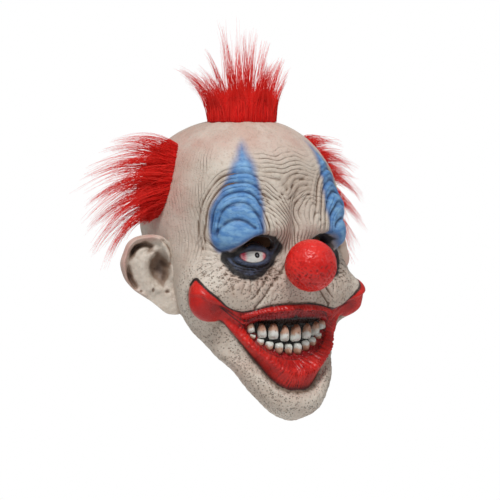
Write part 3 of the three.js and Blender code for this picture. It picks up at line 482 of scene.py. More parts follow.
def paint_fields(s, d):
    a = np.abs(s)
    f = {"blue": within(a, d, BLUE_BOX, BLUE) + 2.6 * window(d, 34, 84, 10)}
    f["navy"] = within(a, d, NAVY_BOX, NAVY)
    f["gum"] = within(a, d, GUM_BOX, OPENING)
    f["slit"] = within(a, d, EYE_BOX, SLIT, 4)
    upper, lower, spot = (smooth_line(x) for x in (UPPER_LINE, LOWER_LINE, SPOT_EDGE))
    ring = np.concatenate([upper[::-1], spot[1:], lower[1:]])
    f["red"] = in_box(a, d, RED_BOX, -60.0, signed_distance, ring[::2])
    for key, line in (("upper", UPPER_LINE), ("lower", LOWER_LINE)):
        f[key + "_line"] = beside(a, d, RED_BOX, line, 60.0)
        f[key + "_share"] = along(a, d, RED_BOX, line)
    f["smile"] = beside(a, d, SMILE_BOX, NASOLABIAL)
    f["eye"] = np.minimum(eye_distance(a, d), 0.9 * (d - 119.8 - 0.014 * (a - 44) ** 2))
    f["pupil"] = np.hypot(a - PUPIL[0], d - PUPIL[1])
    f["corner"] = np.maximum(smooth(49.5, 54.5, a), 0.9 * smooth(36.5, 33, a))
    low = smooth(120, 150, d) * smooth(125, 105, a)
    f["pores"] = np.clip(low * smooth(0.5, -2.5, f["red"]) + 0.25, 0, 1)
    return f


def to_row(p):
    q = np.array(p, float)
    q[..., 2] -= DROP
    return q / 1000


def chart_places(across, down):
    """The plain head's points and normals at chart places."""
    phi, t = across / ACROSS, np.full_like(across, 4.0)
    full = 2 * np.pi * ACROSS
    for _ in range(60):
        s, d = chart(plain(phi, t))
        s = s + full * np.round((across - s) / full)
        _, below = chart(plain(phi, np.minimum(t + 0.05, LAST)))
        slope = np.maximum(20.0, (below - d) / 0.05)
        phi = phi + 0.7 * (across - s) / ACROSS
        t = np.clip(t + 0.7 * (down - d) / slope, 0.05, LAST)
    return plain(phi, t), plain_normal(phi, t)


def surface_points(across, down, lift=0.0):
    p, n = chart_places(across, down)
    return p + n * (main_relief(*chart(p)) + lift)[:, None], n


def place_on(across, down):
    p, n = surface_points(np.array([float(across)]), np.array([float(down)]))
    return p[0], n[0]


def facing(n):
    """Directions sideways, up and forward for an upright form that faces out of the head."""
    f = np.array([n[0], n[1], 0.0])
    f /= np.linalg.norm(f)
    up = np.array([0, 0, 1.0])
    return np.cross(up, f), up, f


# Materials

def srgb(r, g, b):
    def lin(v):
        v /= 255
        return v / 12.92 if v <= 0.04045 else ((v + 0.055) / 1.055) ** 2.4
    return (lin(r), lin(g), lin(b), 1.0)


class Graph:
    """Shorthands for the nodes of one material."""

    def __init__(self, name):
        self.mat = bpy.data.materials.new(name)
        self.mat.use_nodes = True
        self.nodes, self.links = self.mat.node_tree.nodes, self.mat.node_tree.links
        self.shader = self.nodes["Principled BSDF"]
        self.coords = self.nodes.new("ShaderNodeTexCoord").outputs["Object"]

    def put(self, socket, value):
        if isinstance(value, bpy.types.NodeSocket):
            self.links.new(value, socket)
        else:
            socket.default_value = value

    def set(self, **values):
        for name, value in values.items():
            self.put(self.shader.inputs[name.replace("_", " ")], value)

    def field(self, name):
        n = self.nodes.new("ShaderNodeAttribute")
        n.attribute_name = name
        return n.outputs["Fac"]

    def math(self, op, a, b=0.0, clamp=False):
        n = self.nodes.new("ShaderNodeMath")
        n.operation, n.use_clamp = op, clamp
        self.put(n.inputs[0], a)
        self.put(n.inputs[1], b)
        return n.outputs[0]

    def times(self, a, b, clamp=False):
        return self.math("MULTIPLY", a, b, clamp)

    def spread(self, noise, reach):
        """Noise made to run evenly to both sides of nought."""
        return self.times(self.math("SUBTRACT", noise, 0.5), reach)

    def vary(self, value, noise, reach):
        return self.math("ADD", value, self.spread(noise, reach))

    def step(self, value, a, b, lo=0.0, hi=1.0):
        n = self.nodes.new("ShaderNodeMapRange")
        n.interpolation_type = "SMOOTHSTEP"
        self.put(n.inputs["Value"], value)
        if a > b:
            a, b, lo, hi = b, a, hi, lo
        for key, v in (("From Min", a), ("From Max", b), ("To Min", lo), ("To Max", hi)):
            n.inputs[key].default_value = v
        return n.outputs["Result"]

    def mix(self, fac, a, b):
        n = self.nodes.new("ShaderNodeMix")
        n.data_type = "RGBA"
        self.put(n.inputs[0], fac)
        self.put(n.inputs[6], a)
        self.put(n.inputs[7], b)
        return n.outputs[2]

    def lay(self, under, paint, value, a, b, lo=0.0, hi=1.0):
        """Paint over a colour where a value runs from a to b."""
        return self.mix(self.step(value, a, b, lo, hi), under, paint)

    def texture(self, kind, vector, **values):
        n = self.nodes.new(kind)
        self.links.new(vector, n.inputs["Vector"])
        for key, v in values.items():
            n.inputs[key].default_value = v
        return n.outputs

    def noise(self, scale, detail=3.0, rough=0.55):
        sizes = {"Scale": scale, "Detail": detail, "Roughness": rough}
        return self.texture("ShaderNodeTexNoise", self.coords, **sizes)["Fac"]

    def streaks(self, scale, stretch, detail=3.0):
        """Noise drawn out along the axes by the given shares."""
        pull = self.nodes.new("ShaderNodeVectorMath")
        pull.operation = "MULTIPLY"
        self.links.new(self.coords, pull.inputs[0])
        pull.inputs[1].default_value = stretch
        sizes = {"Scale": scale, "Detail": detail, "Roughness": 0.6}
        return self.texture("ShaderNodeTexNoise", pull.outputs[0], **sizes)["Fac"]

    def cells(self, scale):
        return self.texture("ShaderNodeTexVoronoi", self.coords, Scale=scale)["Distance"]

    def fold(self, name, half, k):
        """A thin line wherever the named phase is whole, broken up by noise."""
        phase = self.math("FRACT", self.math("ADD", self.field(name + "_phase"), 0.5))
        near = self.math("ABSOLUTE", self.math("SUBTRACT", phase, 0.5))
        broken = self.step(self.noise(k, 2), 0.36, 0.62, 0.1)
        return self.times(self.step(near, half, 0.0), self.times(self.field(name + "_weight"), broken))

    def bump(self, height, distance):
        n = self.nodes.new("ShaderNodeBump")
        self.put(n.inputs["Height"], height)
        n.inputs["Distance"].default_value = distance
        self.set(Normal=n.outputs["Normal"])


def skin_base(g):
    """Pale latex with a warm mottle, a pink tint and fine brown flecks."""
    colour = g.lay(srgb(205, 194, 181), srgb(187, 171, 157), g.noise(26, 3), 0.35, 0.7)
    colour = g.lay(colour, srgb(204, 172, 158), g.noise(11, 2), 0.48, 0.72, 0, 0.6)
    return g.lay(colour, srgb(158, 136, 114), g.noise(160, 4, 0.65), 0.5, 0.72, 0, 0.35)


def waxy(g):
    g.set(Subsurface_Weight=0.05, Subsurface_Radius=(0.004, 0.002, 0.0015), Subsurface_Scale=0.6)


# Painted shade as thin lines along the folds: name, half width, noise scale
FOLD_SHADE_LINES = (("arc", 0.17, 38), ("loop", 0.17, 50), ("temple", 0.14, 42), ("crow", 0.14, 60))


def latex_material():
    g = Graph("painted_latex")
    colour = skin_base(g)
    mottle, grain, streak = g.noise(55, 4), g.noise(260, 4, 0.7), g.noise(120, 3)
    dirt, pores = g.field("dirt"), g.field("pores")
    blush = g.times(g.field("blush"), g.step(mottle, 0.3, 0.65, 0.15, 0.5))
    colour = g.mix(blush, colour, srgb(196, 142, 130))
    # painted shade: thin brown lines along the folds' creases
    lines = g.fold("brow", 0.17, 45)
    for name, half, k in FOLD_SHADE_LINES:
        lines = g.math("MAXIMUM", lines, g.fold(name, half, k))
    lines = g.times(lines, 0.7)
    colour = g.mix(lines, colour, srgb(98, 74, 58))
    # pore stipple
    dot = g.times(g.step(g.cells(430), 0.4, 0.12), g.step(streak, 0.3, 0.46))
    dot = g.math("MAXIMUM", dot, g.times(g.step(g.cells(660), 0.32, 0.16), g.step(mottle, 0.5, 0.62)))
    colour = g.mix(g.times(g.times(dot, pores), 0.46), colour, srgb(106, 80, 62))
    # painted shade: brown in the creases and hollows
    colour = g.lay(colour, srgb(104, 80, 62), g.vary(dirt, mottle, 0.5), 0.12, 0.95, 0, 0.85)
    # blue brow paint
    brushed = g.streaks(90, (1.0, 1.0, 2.6))
    shade = g.lay(srgb(70, 130, 190), srgb(120, 170, 212), brushed, 0.36, 0.66)
    shade = g.lay(shade, srgb(30, 80, 148), g.field("blue_deep"), 1.0, 0.0, 0, 0.7)
    # painted shade: dark blue in the creases and fold lines of the blue paint
    hollows = g.math("MAXIMUM", g.times(dirt, 0.6, True), g.times(lines, 0.5))
    shade = g.mix(hollows, shade, srgb(20, 44, 88))
    colour = g.lay(colour, shade, g.vary(g.field("blue"), mottle, 3.4), -3.0, 3.2, 0, 0.95)
    # dark brushed mark round the eye
    navy = g.field("navy")
    dark = g.lay(srgb(22, 31, 54), srgb(50, 68, 98), brushed, 0.38, 0.64)
    dark = g.lay(dark, srgb(8, 8, 12), navy, 6.0, 3.2)
    # painted shade: near black in the creases of the dark mark
    dark = g.mix(g.times(dirt, 1.2, True), dark, srgb(8, 10, 18))
    colour = g.lay(colour, dark, g.vary(navy, streak, 5.0), -1.5, 1.0, 0, 0.96)
    # red lips and cheek balls
    red = g.lay(srgb(178, 16, 12), srgb(214, 34, 24), mottle, 0.35, 0.7)
    red = g.lay(red, srgb(222, 84, 74), grain, 0.56, 0.75, 0, 0.25)
    # painted shade: darker red in the creases of the lips and cheek balls
    red = g.mix(g.times(dirt, 0.8, True), red, srgb(96, 8, 9))
    red_w = g.step(g.vary(g.field("red"), grain, 1.0), -0.5, 0.6)
    colour = g.mix(red_w, colour, red)
    # gums, then the dark of the mouth
    gum = g.vary(g.field("gum"), streak, 1.6)
    flesh = g.lay(srgb(132, 16, 18), srgb(176, 46, 50), grain, 0.4, 0.7)
    flesh = g.lay(flesh, srgb(14, 8, 7), gum, 4.2, 7.4)
    gum_w = g.step(gum, -0.6, 0.6)
    colour = g.mix(gum_w, colour, flesh)
    # black drawn lines
    ink_w = g.step(g.vary(g.field("ink"), grain, 0.9), -0.35, 0.45)
    colour = g.mix(g.times(ink_w, 0.95), colour, srgb(18, 12, 11))
    # false eye
    eye, pupil = g.field("eye"), g.field("pupil")
    white = g.lay(srgb(214, 214, 208), srgb(180, 182, 182), streak, 0.45, 0.7, 0, 0.6)
    sore = g.times(g.field("corner"), g.step(streak, 0.3, 0.6, 0.55))
    white = g.mix(sore, white, srgb(214, 70, 96))
    white = g.lay(white, srgb(12, 11, 14), pupil, 2.9, 2.3)
    white = g.lay(white, srgb(112, 112, 114), pupil, 1.15, 0.75)
    white = g.lay(white, srgb(22, 18, 28), eye, 1.1, 0.2, 0, 0.85)
    eye_w = g.step(eye, -0.25, 0.35)
    colour = g.mix(eye_w, colour, white)
    rough = g.step(mottle, 0.3, 0.7, 0.5, 0.66)
    for weight, value in ((red_w, 0.36), (gum_w, 0.2), (eye_w, 0.14)):
        n = g.nodes.new("ShaderNodeMix")
        g.put(n.inputs[0], weight)
        g.put(n.inputs[2], rough)
        n.inputs[3].default_value = value
        rough = n.outputs[0]
    g.set(Base_Color=colour, Roughness=rough, Specular_IOR_Level=0.4)
    waxy(g)
    height = g.math("SUBTRACT", g.times(grain, 0.5), g.times(dot, g.times(pores, 1.4)))
    g.bump(g.math("SUBTRACT", height, g.times(lines, 0.9)), 0.0007)
    return g.mat


def lining_material():
    g = Graph("latex_lining")
    # brown, darker than the pale latex: painted shade for the inside seen through the eye slits
    g.set(Base_Color=g.lay(srgb(120, 88, 66), srgb(92, 64, 46), g.noise(40), 0.35, 0.7), Roughness=0.6)
    g.bump(g.noise(180, 4), 0.0006)
    return g.mat


def rim_material():
    g = Graph("slit_edge")
    # near black: painted shade of the slit's opening, on its lip and cut wall
    g.set(Base_Color=g.lay(srgb(26, 26, 36), srgb(60, 46, 42), g.noise(150), 0.4, 0.65), Roughness=0.5)
    return g.mat


def ear_material():
    g = Graph("ear_latex")
    mottle, streak = g.noise(60, 4), g.noise(140, 3)
    flush = g.times(g.field("rim"), g.step(mottle, 0.3, 0.65, 0.25, 0.75))
    colour = g.mix(flush, skin_base(g), srgb(196, 150, 140))
    specks = g.times(g.step(g.cells(300), 0.4, 0.2), g.step(mottle, 0.42, 0.58))
    colour = g.mix(g.times(specks, 0.12), colour, srgb(96, 74, 56))
    # painted shade: brown, then darker brown, in the ear's grooves and hollows
    dirt = g.vary(g.field("dirt"), streak, 0.5)
    colour = g.lay(colour, srgb(120, 92, 72), dirt, 0.08, 0.6, 0, 0.8)
    colour = g.lay(colour, srgb(66, 44, 34), dirt, 0.55, 1.15, 0, 0.85)
    g.set(Base_Color=colour, Roughness=0.54)
    waxy(g)
    g.bump(g.noise(240, 4, 0.65), 0.0008)
    return g.mat


def nose_material():
    g = Graph("red_nose")
    mottle = g.noise(70, 3)
    colour = g.lay(srgb(204, 24, 20), srgb(228, 44, 36), mottle, 0.35, 0.7)
    # painted shade: darker red in the pits
    colour = g.mix(g.times(g.field("pit"), 0.4, True), colour, srgb(148, 12, 12))
    g.set(Base_Color=colour, Roughness=g.step(mottle, 0.3, 0.7, 0.22, 0.36), Specular_IOR_Level=0.4)
    g.bump(g.noise(260, 3), 0.0009)
    return g.mat


def tooth_material():
    g = Graph("painted_teeth")
    stain, streak = g.noise(190, 3), g.streaks(300, (1.0, 1.0, 0.3))
    colour = g.lay(srgb(220, 222, 216), srgb(188, 190, 180), stain, 0.4, 0.7)
    root = g.vary(g.field("up"), stain, 0.5)
    colour = g.lay(colour, srgb(190, 138, 108), root, 0.3, 0.56, 0, 0.85)
    colour = g.lay(colour, srgb(136, 76, 52), root, 0.56, 0.88, 0, 0.85)
    colour = g.lay(colour, srgb(30, 20, 16), g.vary(g.field("edge"), streak, 0.2), 0.97, 1.06)
    g.set(Base_Color=colour, Roughness=0.24)
    g.bump(streak, 0.0004)
    return g.mat


def hair_material():
    g = Graph("red_fur")
    colour = g.mix(g.field("tone"), srgb(232, 20, 15), srgb(252, 66, 56))
    # painted shade: deeper red toward the roots, inside the tuft
    colour = g.lay(colour, srgb(204, 12, 10), g.field("along"), 0.3, 0.0, 0, 0.5)
    g.set(Base_Color=colour, Roughness=0.5, Specular_IOR_Level=0.22)
    return g.mat


def pile_material(name, stretch):
    g = Graph(name)
    hairs = g.streaks(900, stretch, 4)
    colour = g.lay(srgb(180, 10, 8), srgb(236, 28, 22), hairs, 0.35, 0.62)
    colour = g.lay(colour, srgb(204, 12, 10), g.streaks(170, stretch), 0.4, 0.7, 0, 0.4)
    g.set(Base_Color=colour, Roughness=0.6, Specular_IOR_Level=0.2)
    g.bump(hairs, 0.002)
    return g.mat


# Pieces

def piece(name, verts, faces, material, fields=None):
    """One mesh of the dressed mask. Points come in millimetres on the chart's axes."""
    mesh = bpy.data.meshes.new(name)
    mesh.from_pydata(to_row(verts).tolist(), [], faces)
    for key, values in (fields or {}).items():
        layer = mesh.attributes.new(key, "FLOAT", "POINT")
        layer.data.foreach_set("value", np.asarray(values, np.float32))
    mesh.materials.append(material)
    mesh.shade_smooth()
    mesh.update()
    obj = bpy.data.objects.new(name, mesh)
    bpy.context.scene.collection.objects.link(obj)
    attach(obj, "root")
    return obj


def grid_faces(rows, cols):
    """Four-sided faces between rings of points, closed round each ring."""
    i, j = np.meshgrid(np.arange(rows - 1), np.arange(cols), indexing="ij")
    k = (j + 1) % cols
    return np.stack([i * cols + j, (i + 1) * cols + j, (i + 1) * cols + k, i * cols + k], -1).reshape(-1, 4)


def ring_body(rows, cols, start, flip):
    """Faces between rings of points, with a face over each end."""
    ring = start + np.arange(cols)
    ends = [ring[::-1].tolist(), (ring + (rows - 1) * cols).tolist()]
    faces = (grid_faces(rows, cols) + start).tolist() + ends
    return [face[::-1] for face in faces] if flip else faces


def blur(field, radius):
    """Box blur over the head's grid, twice: closed round the head, open down it."""
    size = 2 * radius + 1
    for _ in range(2):
        round_head = sum(np.roll(field, k, axis=1) for k in range(-radius, radius + 1)) / size
        pad = np.pad(round_head, ((radius, radius), (0, 0)), mode="edge")
        field = sum(pad[k: k + field.shape[0]] for k in range(size)) / size
    return field


def column_angles(count):
    """Closer together at the front than at the back."""
    u = 2 * (np.arange(count) + 0.5) / count - 1
    return np.pi * (0.5 * u + 0.5 * u**3)


def row_stops():
    """Rows a little over a millimetre apart on the face, wider over the crown."""
    t = np.linspace(0, LAST, 4000)
    p = plain(np.full_like(t, 0.6), t)
    seg = np.linalg.norm(np.diff(p, axis=0), axis=1)
    d = -p[1:, 2]
    weight = seg / np.where(d < 14, 3.2, np.where(d < 30, 1.9, 1.16))
    total = np.concatenate([[0], np.cumsum(weight)])
    count = int(total[-1])
    return np.interp(np.arange(1, count + 1) * total[-1] / count, total, t)


def head_grid(t, columns):
    """Points, normals and chart places of the plain head's rings."""
    rings, bearings = np.meshgrid(t, column_angles(columns), indexing="ij")
    base = plain(bearings, rings)
    return (base, plain_normal(bearings, rings), *chart(base))


def inward(ring):
    """Level directions from a ring's points to its middle."""
    way = ring.mean(axis=0) - ring
    way[:, 2] = 0
    return way / np.linalg.norm(way, axis=1, keepdims=True)


def paint_head(f, a, d, form, fine):
    """Adds the fields that come from the shape and from other fields."""
    bulk = fine + 0.5 * form
    # Painted shade: darker where the surface lies below its blurred surroundings, in creases and hollows
    f["dirt"] = np.clip((blur(bulk, 3) - bulk) * 0.95, 0, 1.3)
    f["blue_deep"] = np.clip(f["blue"] / 9, 0, 1)
    f["blue"] = f["blue"] / (1 + 1.6 * smooth(60, 22, d))
    thin = 0.75 + 0.55 * smooth(84, 96, a) - 0.1 * smooth(20, 0, a)
    ink = np.maximum(thin - f["upper_line"], 0.4 - f["lower_line"])
    ink = np.maximum(ink, np.where(f["gum"] > -3, 0.45 - np.abs(f["gum"] + 0.2), -9))
    f["ink"] = np.maximum(ink, 0.55 - beside(a, d, CORNER_BOX, MOUTH_CORNER, 60.0))
    blush = hill(a, d, 128, 70, 20, 40) + 0.8 * smooth(46, 20, d) * smooth(0, 20, d)
    f["blush"] = np.clip(blush + 0.35 * hill(a, d, 30, 150, 20, 12), 0, 1)


# What the fields say on the rolled hem, where it isn't nought
HEM_FIELDS = dict.fromkeys(("blue", "navy", "red", "gum", "eye", "ink"), -60)
HEM_FIELDS.update(pupil=60, pores=0.1, dirt=0.1)
# The hem's rings: inward, up
HEM_ROLL = ((0.5, -0.5), (1.2, -0.5), (1.8, 0.0), (2.2, 1.2), (2.6, 8.0))
UNPAINTED = ("upper_line", "lower_line", "upper_share", "lower_share", "slit", "smile")


def head_piece(material):
    base, normal, s, d = head_grid(row_stops(), HEAD_COLUMNS)
    rows, cols = s.shape
    f = paint_fields(s, d)
    form, fine = main_relief(s, d), fine_relief(s, d, f)
    skin = base + normal * (form + fine)[..., None]
    paint_head(f, np.abs(s), d, form, fine)
    for key, (phase, weight) in fold_lines(s, d).items():
        f[key + "_phase"], f[key + "_weight"] = phase, weight
    # the slits are real openings
    faces = grid_faces(rows, cols)
    gone = (f["slit"] > 0).ravel()
    faces = faces[~gone[faces].any(axis=1)]
    # crown cap, and the hem rolled in and then up the inside
    crown = [[0, 0, CROWN_HEIGHT + form[0].mean()]]
    cap = rows * cols
    caps = [[cap, j, (j + 1) % cols] for j in range(cols)]
    hem = skin[-1]
    roll = [hem + inward(hem) * k + np.array([0, 0, z]) for k, z in HEM_ROLL]
    verts = np.vstack([skin.reshape(-1, 3), crown] + roll)
    index = np.concatenate([cap - cols + np.arange(cols), cap + 1 + np.arange(len(roll) * cols)])
    fields = {}
    for key, values in f.items():
        if key not in UNPAINTED:
            flat = values.ravel()
            fields[key] = np.concatenate([flat, flat[:1], np.full(len(roll) * cols, HEM_FIELDS.get(key, 0))])
    every = faces.tolist() + caps + index[grid_faces(len(roll) + 1, cols)].tolist()
    # drop points that nothing uses
    used = np.zeros(len(verts), bool)
    used[[i for face in every for i in face]] = True
    remap = (np.cumsum(used) - 1).tolist()
    every = [[remap[i] for i in face] for face in every]
    fields = {key: values[used] for key, values in fields.items()}
    return piece("painted_skin", verts[used], every, material, fields)


def inner_relief(s, d, probe=5.0):
    moves = (-probe, 0, probe)
    return np.min([main_relief(s + i, d + j) for i in moves for j in moves], axis=0)


def lining_piece(material):
    base, normal, s, d = head_grid(np.linspace(0, LAST, LINING_ROWS)[1:], LINING_COLUMNS)
    rows, cols = s.shape
    a = np.abs(s)
    roots = smooth(80, 60, a) * smooth(132, 144, d) * smooth(212, 198, d)
    inner = base + normal * (inner_relief(s, d) - WALL - TOOTH_LINING * roots)[..., None]
    inner[-1] = base[-1] + inward(inner[-1]) * 2.4 + np.array([0, 0, 3.0])
    faces = grid_faces(rows, cols)[:, ::-1]
    gone = (within(a, d, EYE_BOX, SLIT, 4) > 0.4).ravel()
    faces = faces[~gone[faces].any(axis=1)].tolist()
    verts = np.vstack([inner.reshape(-1, 3), [[0, 0, CROWN_HEIGHT - WALL]]])
    faces += [[rows * cols, (j + 1) % cols, j] for j in range(cols)]
    piece("latex_lining", verts, faces, material)


# The slit's edge: how far it stands out from the slit, and its lift over the skin
SLIT_EDGE = ((1.7, -0.5), (0.9, 0.25), (0.0, 0.1), (-0.5, -0.9), (-0.7, -3.2), (-0.7, -7.0))


def slit_rims(material):
    """The cut edge of each see-through slit: a lip over the outside, carried in through the wall."""
    verts, faces = [], []
    line = smooth_line(SLIT, True, 8)
    away = line - line.mean(axis=0)
    away /= np.linalg.norm(away, axis=1, keepdims=True)
    places = np.concatenate([line + away * grow for grow, _ in SLIT_EDGE])
    lift = np.repeat([v for _, v in SLIT_EDGE], len(line))
    for side in (-1, 1):
        p, n = chart_places(side * places[:, 0], places[:, 1])
        s, d = chart(p)
        height = main_relief(s, d) + fine_relief(s, d, paint_fields(s, d)) + lift
        grid = grid_faces(len(SLIT_EDGE), len(line)) + len(verts) * len(places)
        verts.append(p + n * height[:, None])
        faces += (grid if side < 0 else grid[:, ::-1]).tolist()
    piece("slit_rims", np.vstack(verts), faces, material)


def near_line(out, up, points, wide):
    dist, share = line_distance(out, up, smooth_line(points, False, 5))
    return bell(dist, 0, wide), share


def ear_forms(out, up):
    """Height of the ear's front in millimetres, how much painted shade its hollows get, and its rim."""
    rim, share = near_line(out, up, EAR_RIM, 0.048)
    rim = rim * smooth(-0.05, 0.12, share) * (1 - 0.7 * smooth(0.6, 1, share))
    groove, share = near_line(out, up, EAR_GROOVE, 0.036)
    deep = 0.75 + 0.45 * bell(share, 0.4, 0.16) + 0.5 * bell(share, 0.85, 0.12) - 0.5 * bell(share, 0.62, 0.1)
    groove = groove * deep * smooth(0, 0.1, share)
    fold, _ = near_line(out, up, EAR_FOLD, 0.065)
    root, _ = near_line(out, up, EAR_ROOT, 0.034)
    beside_root, _ = near_line(out + 0.052, up + 0.01, EAR_ROOT, 0.016)
    front, _ = near_line(out, up, EAR_FRONT, 0.02)
    bowl = hill(out, up, -0.036, 0.025, 0.118, 0.185, blunt=2.6)
    fossa = hill(out, up, 0.085, 0.225, 0.06, 0.035)
    notch = hill(out, up, -0.09, -0.16, 0.035, 0.06)
    tragus = hill(out, up, -0.2, -0.04, 0.05, 0.1)
    knob = hill(out, up, -0.01, -0.25, 0.06, 0.045)
    dimples = sum(hill(out, up, *dimple) for dimple in EAR_DIMPLES)
    lobe = hill(out, up, -0.22, -0.44, 0.11, 0.09)
    high = 4.6 * rim - 6.0 * groove + 3.0 * fold + 3.2 * root - 1.4 * beside_root - 2.6 * front - 12 * bowl
    high += 3.4 * tragus + 2.2 * knob - 1.6 * dimples + 1.6 * lobe - 2.5 * notch - 2.2 * fossa
    s, d = out * EAR_HEIGHT, up * EAR_HEIGHT
    high += 9 * np.maximum(0, out) ** 1.5 + 0.35 * wave(s, d, 16, 15) + 0.2 * wave(s, d, 6, 14)
    # painted shade in the grooves, bowl, fossa and dimples, less on the rim
    dirt = 1.05 * groove + 0.62 * bowl + 0.5 * hill(out, up, -0.1, -0.02, 0.07, 0.14) + 0.75 * front
    dirt += 0.55 * beside_root + 0.5 * fossa + 0.9 * dimples + 0.5 * notch - 0.3 * rim
    return high, np.clip(dirt + 0.12 * wave(s, d, 9, 13), 0, 1.1), rim


def ears_piece(material):
    verts, faces = [], []
    outline = smooth_line(EAR_OUTLINE, True, 8)
    n = len(outline)
    front_edges = np.concatenate([np.linspace(0.015, 0.93, 56), [0.955, 0.975, 0.99, 1.0]])
    rear_edges = np.concatenate([[0.99, 0.965], np.linspace(0.94, 0.015, 40)])
    edge = np.concatenate([front_edges, rear_edges])[:, None]
    behind = np.arange(len(edge))[:, None] >= len(front_edges)
    out, up = outline[:, 0] * edge, outline[:, 1] * edge
    front, ear_shade, tint = ear_forms(out, up)
    front *= smooth(1.02, 0.93, edge)
    rear = 0.3 * np.maximum(front, -6) - EAR_THICKNESS * np.sqrt(1.02 - edge**2)
    high = np.where(behind, np.minimum(rear, front - 1.6), front)
    swing = math.radians(EAR_SWING)
    for side in (-1, 1):
        root, _ = place_on(side * EAR_ACROSS, EAR_DOWN)
        outward = np.array([side * math.cos(swing), math.sin(swing), 0])
        forward = np.array([side * math.sin(swing), -math.cos(swing), 0])
        middle = root + outward * EAR_OUT
        p = middle + outward * (out * EAR_HEIGHT)[..., None] + forward * high[..., None]
        p[..., 2] = middle[2] + up * EAR_HEIGHT
        faces += ring_body(edge.size, n, len(verts) * edge.size * n, side < 0)
        verts.append(p.reshape(-1, 3))
    # the ear's backs get a little painted shade
    ear_shade, tint = np.where(behind, 0.1, ear_shade), np.where(behind, 0.6, tint)
    fields = {"dirt": np.tile(ear_shade.ravel(), 2), "rim": np.tile(tint.ravel(), 2)}
    piece("ears", np.vstack(verts), faces, material, fields)


def nose_piece(material):
    """A soft ball with cast pits, more of them low down."""
    centre, _ = place_on(0, NOSE_DOWN)
    centre[0] = 0
    centre[1] -= NOSE_RADIUS - NOSE_SINK
    rows, cols = NOSE_ROWS, NOSE_COLUMNS
    down = np.linspace(0.012, np.pi - 0.012, rows)
    th, ph = np.meshgrid(down, turns(cols), indexing="ij")
    unit = np.stack([np.sin(th) * np.cos(ph), np.sin(th) * np.sin(ph), np.cos(th)], -1).reshape(-1, 3)
    pit, lump = np.zeros(len(unit)), np.zeros(len(unit))
    for i, u in enumerate(unit):
        v = Vector(u * NOSE_RADIUS)
        low = float(smooth(0.5, -0.3, u[2] + 0.5 * perlin.noise(v / 9.0)))
        pit[i] = max(0.0, perlin.noise(v / 1.9) - 0.1) * (0.4 + 0.9 * low)
        lump[i] = perlin.noise(v / 5.0) + 0.6 * perlin.noise(v / 2.6)
    radius = NOSE_RADIUS + 0.3 * lump - 2.4 * pit
    faces = grid_faces(rows, cols).tolist()
    faces.append(list(range(cols)))
    faces.append([(rows - 1) * cols + i for i in range(cols - 1, -1, -1)])
    fields = {"pit": np.clip(pit * 2.6, 0, 1)}
    piece("ball_nose", centre + unit * radius[:, None], faces, material, fields)


def power(x, k):
    return np.sign(x) * np.abs(x) ** k


def teeth_piece(material):
    verts, faces = [], []
    rows, cols = TOOTH_RINGS, TOOTH_COLUMNS
    out = np.sin((np.arange(rows) + 0.5) / rows * np.pi / 2)[:, None]
    turn = turns(cols)[None, :]
    tip = np.sin(turn) < 0
    x = power(np.cos(turn), np.where(tip, 0.3, 0.75)) * out
    y = power(np.sin(turn), np.where(tip, 0.3, 0.9)) * out
    out = out + 0 * x
    taper = 1 - 0.2 * smooth(-0.4, 1, y) - 0.05 * smooth(-0.4, -1, y)
    pz = TOOTH_THICKNESS * (1 - out**4.5) - 0.5 - 0.5 * y + 0.25 * np.cos(3 * x)
    rim = np.concatenate([np.where(out > 0.8, out, 0.6 * out), np.full((1, cols), 1.2)])
    root = np.concatenate([0.5 + 0.5 * y, np.ones((1, cols))])
    lean_rng = np.random.default_rng(5)
    for table, longest, way, broad, high in TOOTH_ROWS:
        for across, down, wide, share, lean in table:
            point, normal = place_on(across, down)
            side, up, forward = facing(normal)
            tall, half = high * share * longest / 2, broad * wide * HALF_WIDTH / ACROSS / 2
            angle = math.radians(lean + lean_rng.uniform(-2, 2))
            bent = 0.04 * lean_rng.uniform(-1, 1) * np.sin(3 * x)
            px, py = x * half * taper, (y + bent) * tall * way
            c, s = math.cos(angle), math.sin(angle)
            px, py = px * c - py * s, px * s + py * c
            front = point + side * px[..., None] + up * py[..., None] + forward * pz[..., None]
            rear = front[-1:] - forward * TOOTH_REAR
            faces += ring_body(rows + 1, cols, len(verts) * (rows + 1) * cols, way > 0)
            verts.append(np.concatenate([front, rear]).reshape(-1, 3))
    fields = {"up": np.tile(root.ravel(), len(verts)), "edge": np.tile(rim.ravel(), len(verts))}
    piece("teeth", np.vstack(verts), faces, material, fields)


def strands(name, path, material):
    """Tapered three-sided hairs along paths of points: hair, step, xyz."""
    n, points = path.shape[:2]
    widths = RNG.uniform(HAIR_THIN, HAIR_THICK, n)
    tangent = np.gradient(path, axis=1)
    tangent /= np.linalg.norm(tangent, axis=2, keepdims=True) + 1e-9
    side = np.cross(tangent, (0.31, 0.77, 0.55))
    side /= np.linalg.norm(side, axis=2, keepdims=True) + 1e-9
    other = np.cross(tangent, side)
    w = widths[:, None, None] * (1 - 0.85 * np.linspace(0, 1, points)[None, :, None])
    ring = [path + (side * math.cos(k) + other * math.sin(k)) * w for k in (0, 2.0944, 4.1888)]
    verts = np.stack(ring, 2).reshape(-1, 3)
    one = grid_faces(points, 3)[:, [0, 3, 2, 1]]
    faces = (np.arange(n)[:, None, None] * points * 3 + one).reshape(-1, 4).tolist()
    tone = np.repeat(np.clip(RNG.normal(0.5, 0.28, n), 0, 1), points * 3)
    along_hair = np.tile(np.repeat(np.linspace(0, 1, points), 3), n)
    return piece(name, verts, faces, material, {"tone": tone, "along": along_hair})


def nearest(places, spread):
    """The clump that each hair belongs to, with some strays."""
    dist = np.hypot(places[0], places[1])
    return np.argmin(dist + RNG.normal(0, spread, dist.shape), axis=1)


